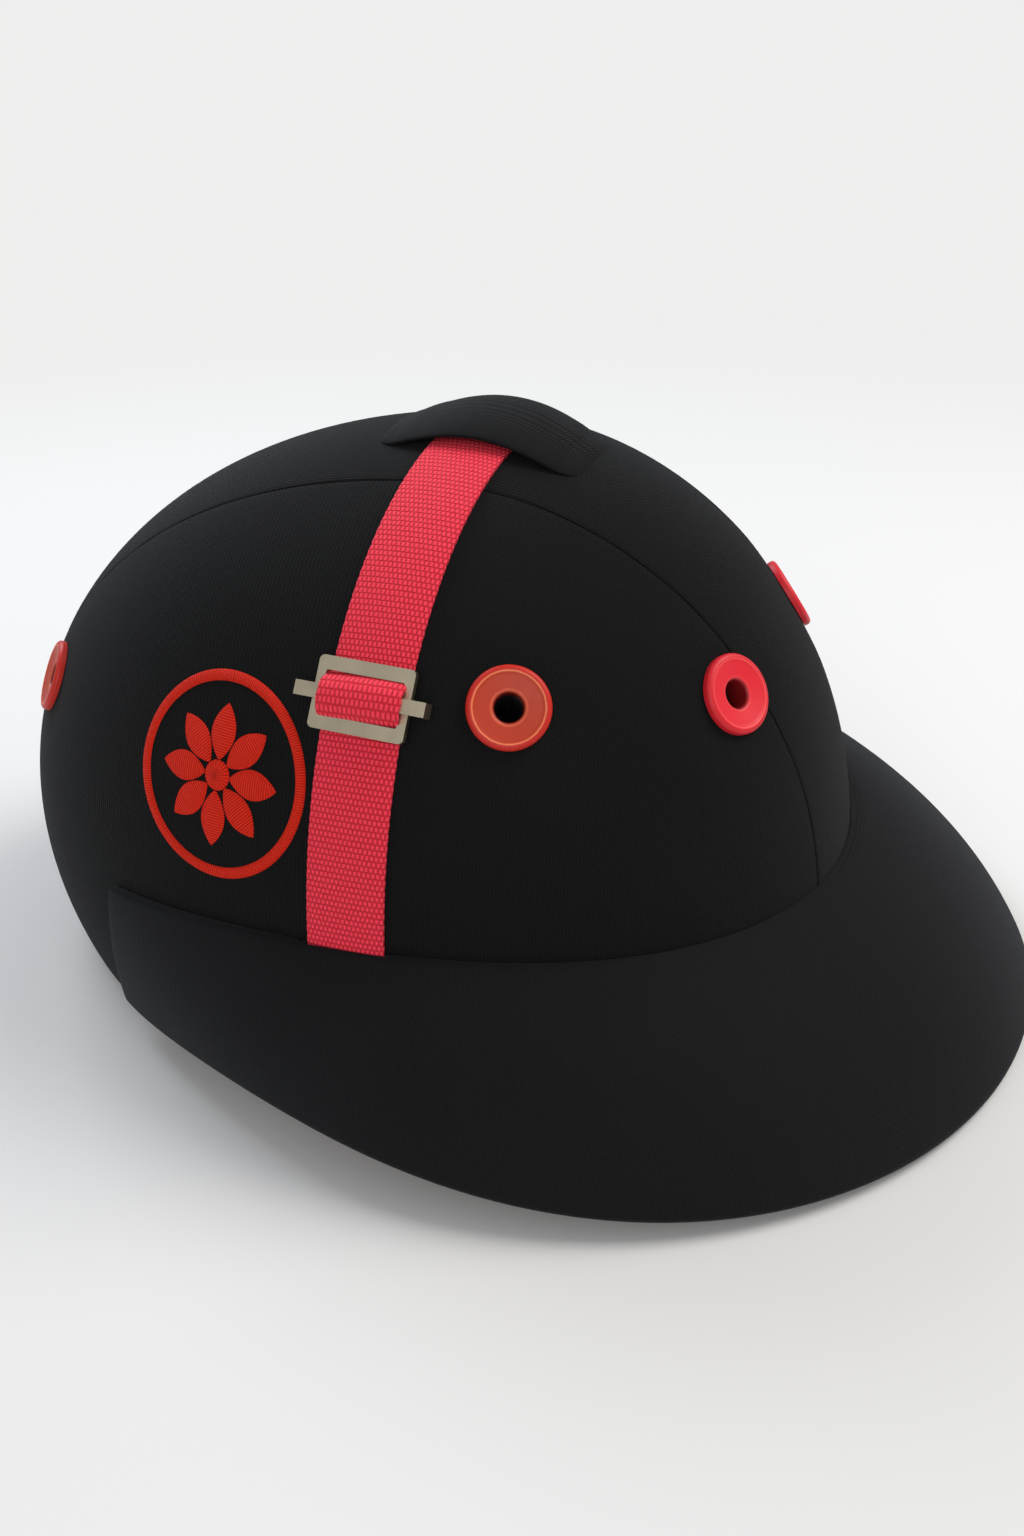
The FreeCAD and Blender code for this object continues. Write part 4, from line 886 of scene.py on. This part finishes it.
def onHood(u, v):
    # v runs from the front tip to the rear tip, u round the section
    share = 2 * v - 1
    y = dome["middleY"] + hood["middleY"] + share * hood["length"] / 2
    fromStrap = 2 * (y - strapY(0)) / hood["openingLength"]
    tip = max(0, 1 - abs(share) ** hood["tipPower"])
    width = hood["halfWidth"] * (hood["endWidth"] + (1 - hood["endWidth"]) * tip ** hood["widthPower"])
    bottom = hood["opening"] * max(0, 1 - fromStrap**2)
    padding = hood["tipThickness"] * (hood["tipShare"] + (1 - hood["tipShare"]) * tip)
    top = max(bottom + padding, hood["rise"] * (1 - abs(share) ** 3) ** hood["risePower"])
    ends = (1 - abs(share) ** hood["endPower"]) ** 0.5
    turn = 2 * math.pi * u
    across = math.copysign(abs(math.cos(turn)) ** hood["sideBend"], math.cos(turn))
    upward = math.copysign(abs(math.sin(turn)) ** hood["topBend"], math.sin(turn))
    middle = (top + bottom) / 2
    half = (top - bottom) / 2 * ends
    roll = 1 - hood["edgeRoll"] * abs(across) ** 3
    x = width * across * (0.5 + 0.5 * ends)
    lift = middle - (top - middle) * (1 - ends) + half * upward * roll - hood["tipSink"] * (1 - tip)
    point = Vector((x, y, domeTop(x, y) + lift))
    return point, (u * hood["clothAcross"], v * hood["length"])


crownHood = shapedGrid("crownHood", 64, hood["stations"], onHood)
recalculate(crownHood)
smooth(crownHood, 70)
finishPiece(crownHood, cover, "helmet", "crown_hood")
print("crown hood made")


# roundel: a satin-stitched ring round a rosette of eight petals

roundel = {
    "azimuth": -115.9,
    "height": 0.1068,
    "radius": 0.031,
    "ringWidth": 0.0034,
    "petalReach": 0.0215,
    "petalWidth": 0.009,
    "petalStart": 0.0045,
    "petals": 8,
    "petalEdge": 0.15,
    "petalEnds": 0.25,
    "heart": 0.0046,
    "heartRise": 0.0011,
    "heartStitch": 0.003,
    "rise": 0.00075,
    "sheet": 0.0003,
    "above": 0.03,
}
seatTurn = math.radians(roundel["azimuth"])
roundelSeat = around(seatTurn, domeReach(seatTurn, roundel["height"]), roundel["height"])
roundelOut = domeNormal(roundelSeat)
roundelRight = Vector((0, 0, 1)).cross(roundelOut).normalized()
roundelUp = roundelOut.cross(roundelRight)
roundelInside = roundelSeat - roundelOut * 0.1


def onRoundel(p, q, lift):
    # a point of the roundel's own plane, dropped on to the dome and raised
    start = roundelSeat + roundelRight * p + roundelUp * q + roundelOut * roundel["above"]
    y = start.y - dome["middleY"]
    along = dome["rearReach"] if y > 0 else dome["frontReach"]
    scale = Vector((1 / dome["halfWidth"], 1 / along, 1 / dome["rise"]))
    origin = Vector((start.x, y, start.z - dome["widest"])) * scale
    step = -roundelOut * scale
    a, b, c = step.dot(step), 2 * origin.dot(step), origin.dot(origin) - 1
    away = (-b - math.sqrt(max(0, b * b - 4 * a * c))) / (2 * a)
    point = start - roundelOut * away
    return point + domeNormal(point) * lift


def roundOver(u):
    return math.sqrt(max(0, 1 - (2 * u - 1) ** 2))


def onRing(u, v):
    turn = 2 * math.pi * v
    reach = roundel["radius"] - roundel["ringWidth"] * u
    point = onRoundel(reach * math.sin(turn), reach * math.cos(turn), roundel["rise"] * roundOver(u))
    return point, (u * roundel["ringWidth"], turn * roundel["radius"])


ring = shapedGrid("roundelRing", 10, 160, onRing)
turnOutwards(ring, roundelInside)
useModifier(ring, "SOLIDIFY", thickness=roundel["sheet"], offset=-1)
smooth(ring, 70)
finishPiece(ring, redThread, "helmet", "roundel_ring")

petals = []
for index in range(roundel["petals"]):
    direction = 2 * math.pi * index / roundel["petals"]

    def onPetal(u, v):
        length = roundel["petalStart"] + (roundel["petalReach"] - roundel["petalStart"]) * v
        swell = max(0, math.sin(math.pi * v))
        aside = (2 * u - 1) * roundel["petalWidth"] / 2 * swell**0.8
        edge, ends = roundel["petalEdge"], roundel["petalEnds"]
        lift = roundel["rise"] * (edge + (1 - edge) * roundOver(u)) * (ends + (1 - ends) * swell**0.5)
        p = length * math.sin(direction) + aside * math.cos(direction)
        q = length * math.cos(direction) - aside * math.sin(direction)
        return onRoundel(p, q, lift), (aside, length)

    petal = shapedGrid("petal", 10, 20, onPetal)
    turnOutwards(petal, roundelInside)
    petals.append(petal)


def onHeart(u, v):
    turn = 2 * math.pi * v
    reach = roundel["heart"] * u
    lift = roundel["heartRise"] * math.sqrt(max(0, 1 - u**2))
    point = onRoundel(reach * math.sin(turn), reach * math.cos(turn), lift)
    return point, (reach, turn * roundel["heartStitch"])


heart = shapedGrid("heart", 8, 40, onHeart)
turnOutwards(heart, roundelInside)
petals.append(heart)
selectOnly(*petals)
bpy.ops.object.join()
rosette = bpy.context.object
rosette.name = "roundelRosette"
useModifier(rosette, "SOLIDIFY", thickness=roundel["sheet"], offset=-1)
smooth(rosette, 70)
finishPiece(rosette, redThread, "helmet", "roundel_rosette")
print("roundel made")


# linings and pads: copies of their solids, remeshed and softened

# name, size of the mesh's cells, smoothing passes, material, slot and how full the padding is
pads = {
    "crown_lining": ("crownLining", 0.0016, 5, liningCloth, "lining_fabric", 1.0),
    "sweatband": ("sweatBand", 0.0014, 5, liningCloth, "lining_fabric", 0.9),
    "nape_pad": ("napePad", 0.0015, 5, softFoam, "soft_pad", 0.9),
    "crown_pad": ("crownPad", 0.0015, 5, liningCloth, "soft_pad", 0.9),
    "rim_binding": ("rimBinding", 0.0010, 12, liningCloth, "lining_fabric", 1.0),
    "chin_pad": ("chinPad", 0.0009, 12, softFoam, "soft_pad", 0.8),
}


def softCopy(node, name, cell, passes):
    selectOnly(cadNodes[node])
    bpy.ops.object.duplicate()
    piece = bpy.context.object
    piece.name = name
    for key in list(piece.keys()):
        del piece[key]
    editMesh(piece, bpy.ops.mesh.remove_doubles, threshold=0.00001)
    piece.data.remesh_voxel_size = cell
    bpy.ops.object.voxel_remesh()
    useModifier(piece, "SMOOTH", factor=0.5, iterations=passes)
    smooth(piece, 80)
    return piece


for node, (name, cell, passes, material, slot, fill) in pads.items():
    piece = softCopy(node, name, cell, passes)
    body = "chin_right" if node == "chin_pad" else "helmet"
    finishPiece(piece, material, body, node)
print("linings and pads made")


# chin straps

chin = {
    "width": 0.019,
    "length": 0.086,
    "start": 0.0024,
    "lift": 0.0001,
    "sheet": 0.0014,
    "edgeRound": 0.0004,
    "slope": 5,
    "ringHeight": 0.014,
    "columns": 20,
    "loopRadius": 0.00175,
    "loopSheet": 0.0014,
    "loopRound": 0.0004,
}
for side, body, node in ((-1, "chin_right", "chin_strap_right"), (1, "chin_left", "chin_strap_left")):
    tilt = math.radians(chin["slope"])
    inwards = Vector((-side * math.cos(tilt), 0, -math.sin(tilt)))
    upwards = Vector((-side * math.sin(tilt), 0, math.cos(tilt)))
    hinge = strapFoot(side, chin["ringHeight"])

    def onChin(u, v):
        run = chin["start"] + (chin["length"] - chin["start"]) * v
        point = hinge + inwards * run + upwards * chin["lift"]
        point.y += (u - 0.5) * chin["width"]
        return point, (u * chin["width"], run)

    band = shapedGrid("band", chin["columns"], 70, onChin, closed=False)
    turnOutwards(band, hinge - Vector((0, 0, 1)))
    useModifier(band, "SOLIDIFY", thickness=chin["sheet"], offset=0)
    roundEdges(band, chin["edgeRound"], 2)
    fold = webbingLoop("fold", hinge, inwards, upwards, chin)
    selectOnly(band, fold)
    bpy.ops.object.join()
    band.name = "chinWebbingRight" if side < 0 else "chinWebbingLeft"
    smooth(band, 50)
    finishPiece(band, blackWebbing, body, node)
print("chin straps made")


# eyelets and the other carried-over pieces

# how far out each band of red lies, as a share of the reach: the dark bore is painted shade, and the light
# lip and ring bands are painted highlights
eyeletRings = {
    "reach": 0.012,
    "start": ("paintedBoreShade", 0.36),
    "end": ("rim", 0.89),
    "between": (("paintedLipHighlight", 0.425), ("dish", 0.47), ("dish", 0.835), ("ring", 0.855), ("ring", 0.872)),
}


def eyeletMaterial(name, seat, normal, settings):
    # moulded red with a band of colour for each ring round the eyelet's own axis, with painted shade in the
    # bore and painted highlights on the lip and the ring
    material, nodes, links, shader = newMaterial(name)
    place = nodes.new("ShaderNodeTexCoord")
    turned = {"Location": seat, "Rotation": normal.to_track_quat("Z", "Y").to_euler()}
    local = addNode(nodes, "ShaderNodeMapping", turned, vector_type="TEXTURE")
    links.new(place.outputs["Object"], local.inputs["Vector"])
    split = nodes.new("ShaderNodeSeparateXYZ")
    links.new(local.outputs[0], split.inputs[0])
    flat = nodes.new("ShaderNodeCombineXYZ")
    links.new(split.outputs["X"], flat.inputs["X"])
    links.new(split.outputs["Y"], flat.inputs["Y"])
    reach = addNode(nodes, "ShaderNodeVectorMath", operation="LENGTH")
    links.new(flat.outputs[0], reach.inputs[0])
    ramp = nodes.new("ShaderNodeValToRGB")
    share = addNode(nodes, "ShaderNodeMath", {1: eyeletRings["reach"]}, operation="DIVIDE")
    links.new(reach.outputs["Value"], share.inputs[0])
    noise = addNode(nodes, "ShaderNodeTexNoise", {"Scale": 500.0, "Detail": 3.0})
    links.new(local.outputs[0], noise.inputs["Vector"])
    sway = addNode(nodes, "ShaderNodeMath", {1: 0.02}, operation="MULTIPLY_ADD")
    links.new(noise.outputs[0], sway.inputs[0])
    links.new(share.outputs[0], sway.inputs[2])
    links.new(sway.outputs[0], ramp.inputs[0])
    stops = ramp.color_ramp.elements
    for stop, (shade, position) in zip(stops, (eyeletRings["start"], eyeletRings["end"])):
        stop.position = position
        stop.color = (*settings[shade], 1)
    for shade, position in eyeletRings["between"]:
        stops.new(position).color = (*settings[shade], 1)
    links.new(ramp.outputs[0], shader.inputs["Base Color"])
    addBump(nodes, links, shader, noise.outputs[0], 0.15, 0.0003)
    rough = addNode(nodes, "ShaderNodeMapRange", {"To Min": 0.32, "To Max": 0.55})
    links.new(noise.outputs[0], rough.inputs["Value"])
    links.new(rough.outputs[0], shader.inputs["Roughness"])
    setInputs(shader, {"Specular IOR Level": 0.3})
    return material


# the bore colours are painted shade and the lip and ring colours are painted highlights; the dish and rim
# colours are the moulded red itself
sideRed = {
    "paintedBoreShade": (0.16, 0.006, 0.003), "paintedLipHighlight": (0.70, 0.11, 0.05), "dish": (0.48, 0.040, 0.014),
    "ring": (0.82, 0.20, 0.08), "rim": (0.54, 0.020, 0.010),
}
frontRed = {
    "paintedBoreShade": (0.20, 0.006, 0.008), "paintedLipHighlight": (0.80, 0.04, 0.05), "dish": (0.74, 0.018, 0.032),
    "ring": (0.86, 0.07, 0.07), "rim": (0.66, 0.016, 0.026),
}
eyeletWords = [(place, word) for place in eyelets for word in ("right", "left")]
for (place, word), (seat, normal) in zip(eyeletWords, eyeletSeats):
    reds = frontRed if place == "front" else sideRed
    red = eyeletMaterial(f"eyeletRed_{place}_{word}", seat, normal, reds)
    paint(cadNodes[f"eyelet_{place}_{word}"], red)

carried = {
    "buckle_frame": satinNickel, "buckle_bar": satinNickel,
    "hanger_ring_right": platedWire, "hanger_ring_left": platedWire,
    "shell": shellPlastic, "peak_core": shellPlastic, "impact_liner": beadFoam,
    "chin_buckle_socket": claspPlastic, "chin_buckle_prong": claspPlastic,
    "chin_strap_keeper": claspPlastic,
}
for name, node in cadNodes.items():
    material = carried.get(name)
    if name.startswith("eyelet_washer"):
        material = claspPlastic
    if name.startswith("peak_rivet"):
        material = blackRivet
    if material:
        paint(node, material)
print("carried pieces finished")


# floor, lights and camera

studio = {
    "floorSize": 6,
    "floorHeight": -0.0005,
    "floorShade": (0.74, 0.735, 0.725, 1),
    "fadeStart": 0.28,
    "fadeEnd": 0.95,
    "skyShade": (0.80, 0.82, 0.86, 1),
    "skyStrength": 0.5,
    "backdropShade": (0.86, 0.86, 0.855, 1),
}
selectOnly()
bpy.ops.mesh.primitive_plane_add(size=studio["floorSize"], location=(0, 0, studio["floorHeight"]))
floor = bpy.context.object
floor.name = "floor"
floorMaterial, nodes, links, shader = newMaterial("paleFloor")
setInputs(shader, {"Base Color": studio["floorShade"], "Roughness": 0.95, "Specular IOR Level": 0.1})
# the floor fades into the pale backdrop and can be looked through from below
spot = nodes.new("ShaderNodeTexCoord")
reach = addNode(nodes, "ShaderNodeVectorMath", operation="LENGTH")
links.new(spot.outputs["Object"], reach.inputs[0])
ends = {"From Min": studio["fadeStart"], "From Max": studio["fadeEnd"]}
fade = addNode(nodes, "ShaderNodeMapRange", ends, interpolation_type="SMOOTHSTEP")
links.new(reach.outputs["Value"], fade.inputs["Value"])
below = nodes.new("ShaderNodeNewGeometry")
unseen = addNode(nodes, "ShaderNodeMath", operation="MAXIMUM")
links.new(fade.outputs[0], unseen.inputs[0])
links.new(below.outputs["Backfacing"], unseen.inputs[1])
clear = nodes.new("ShaderNodeBsdfTransparent")
mixed = nodes.new("ShaderNodeMixShader")
links.new(unseen.outputs[0], mixed.inputs[0])
links.new(shader.outputs[0], mixed.inputs[1])
links.new(clear.outputs[0], mixed.inputs[2])
links.new(mixed.outputs[0], nodes["Material Output"].inputs["Surface"])
floor.data.materials.append(floorMaterial)

world = bpy.data.worlds.new("studio")
bpy.context.scene.world = world
world.use_nodes = True
nodes, links = world.node_tree.nodes, world.node_tree.links
sky = nodes["Background"]
setInputs(sky, {"Color": studio["skyShade"], "Strength": studio["skyStrength"]})
backdrop = addNode(nodes, "ShaderNodeBackground", {"Color": studio["backdropShade"]})
rays = nodes.new("ShaderNodeLightPath")
choice = nodes.new("ShaderNodeMixShader")
links.new(rays.outputs["Is Camera Ray"], choice.inputs[0])
links.new(sky.outputs[0], choice.inputs[1])
links.new(backdrop.outputs[0], choice.inputs[2])
links.new(choice.outputs[0], nodes["World Output"].inputs["Surface"])

lamps = {
    "keyLight": {
        "place": (0.5, -0.9, 1.3), "target": (0, 0, 0.08), "size": 0.9,
        "power": 17, "colour": (1.0, 0.97, 0.93),
    },
    "rimLight": {
        "place": (0.6, 1.0, 1.0), "target": (0, 0, 0.1), "size": 0.8,
        "power": 12, "colour": (0.85, 0.92, 1.0),
    },
    "fillLight": {
        "place": (-1.4, -0.3, 0.8), "target": (0, 0, 0.08), "size": 1.0,
        "power": 7.5, "colour": (1.0, 0.98, 0.95),
    },
}
for name, settings in lamps.items():
    lamp = bpy.data.lights.new(name, "AREA")
    lamp.size = settings["size"]
    lamp.energy = settings["power"]
    lamp.color = settings["colour"]
    holder = bpy.data.objects.new(name, lamp)
    bpy.context.scene.collection.objects.link(holder)
    holder.location = settings["place"]
    away = Vector(settings["place"]) - Vector(settings["target"])
    holder.rotation_euler = away.to_track_quat("Z", "Y").to_euler()

# the photo's camera: azimuth, elevation and distance from the target, then three small turns
view = {
    "azimuth": -67.8347,
    "elevation": 27.9439,
    "roll": -3.0131,
    "pan": -0.9249,
    "tilt": -1.4647,
    "distance": 0.53844,
    "focalPixels": 1579.81,
    "photoPixels": 1536,
    "sensor": 36,
    "target": (0, 0.0093, 0.080),
}
azimuth, elevation = math.radians(view["azimuth"]), math.radians(view["elevation"])
level = math.cos(elevation)
back = Vector((math.sin(azimuth) * level, -math.cos(azimuth) * level, math.sin(elevation)))
right = Vector((math.cos(azimuth), math.sin(azimuth), 0))
up = back.cross(right)
place = Vector(view["target"]) + back * view["distance"]
for axis, turn in ((up.copy(), view["pan"]), (right.copy(), view["tilt"]), (back.copy(), view["roll"])):
    rotation = Matrix.Rotation(math.radians(turn), 3, axis)
    right, up, back = rotation @ right, rotation @ up, rotation @ back
lens = bpy.data.cameras.new("camera")
lens.lens = view["focalPixels"] * view["sensor"] / view["photoPixels"]
lens.sensor_width = view["sensor"]
lens.clip_start = 0.01
camera = bpy.data.objects.new("camera", lens)
bpy.context.scene.collection.objects.link(camera)
camera.matrix_world = Matrix.Translation(place) @ Matrix((right, up, back)).transposed().to_4x4()
bpy.context.scene.camera = camera
bpy.context.scene.view_settings.view_transform = "Standard"
print("scene lit")
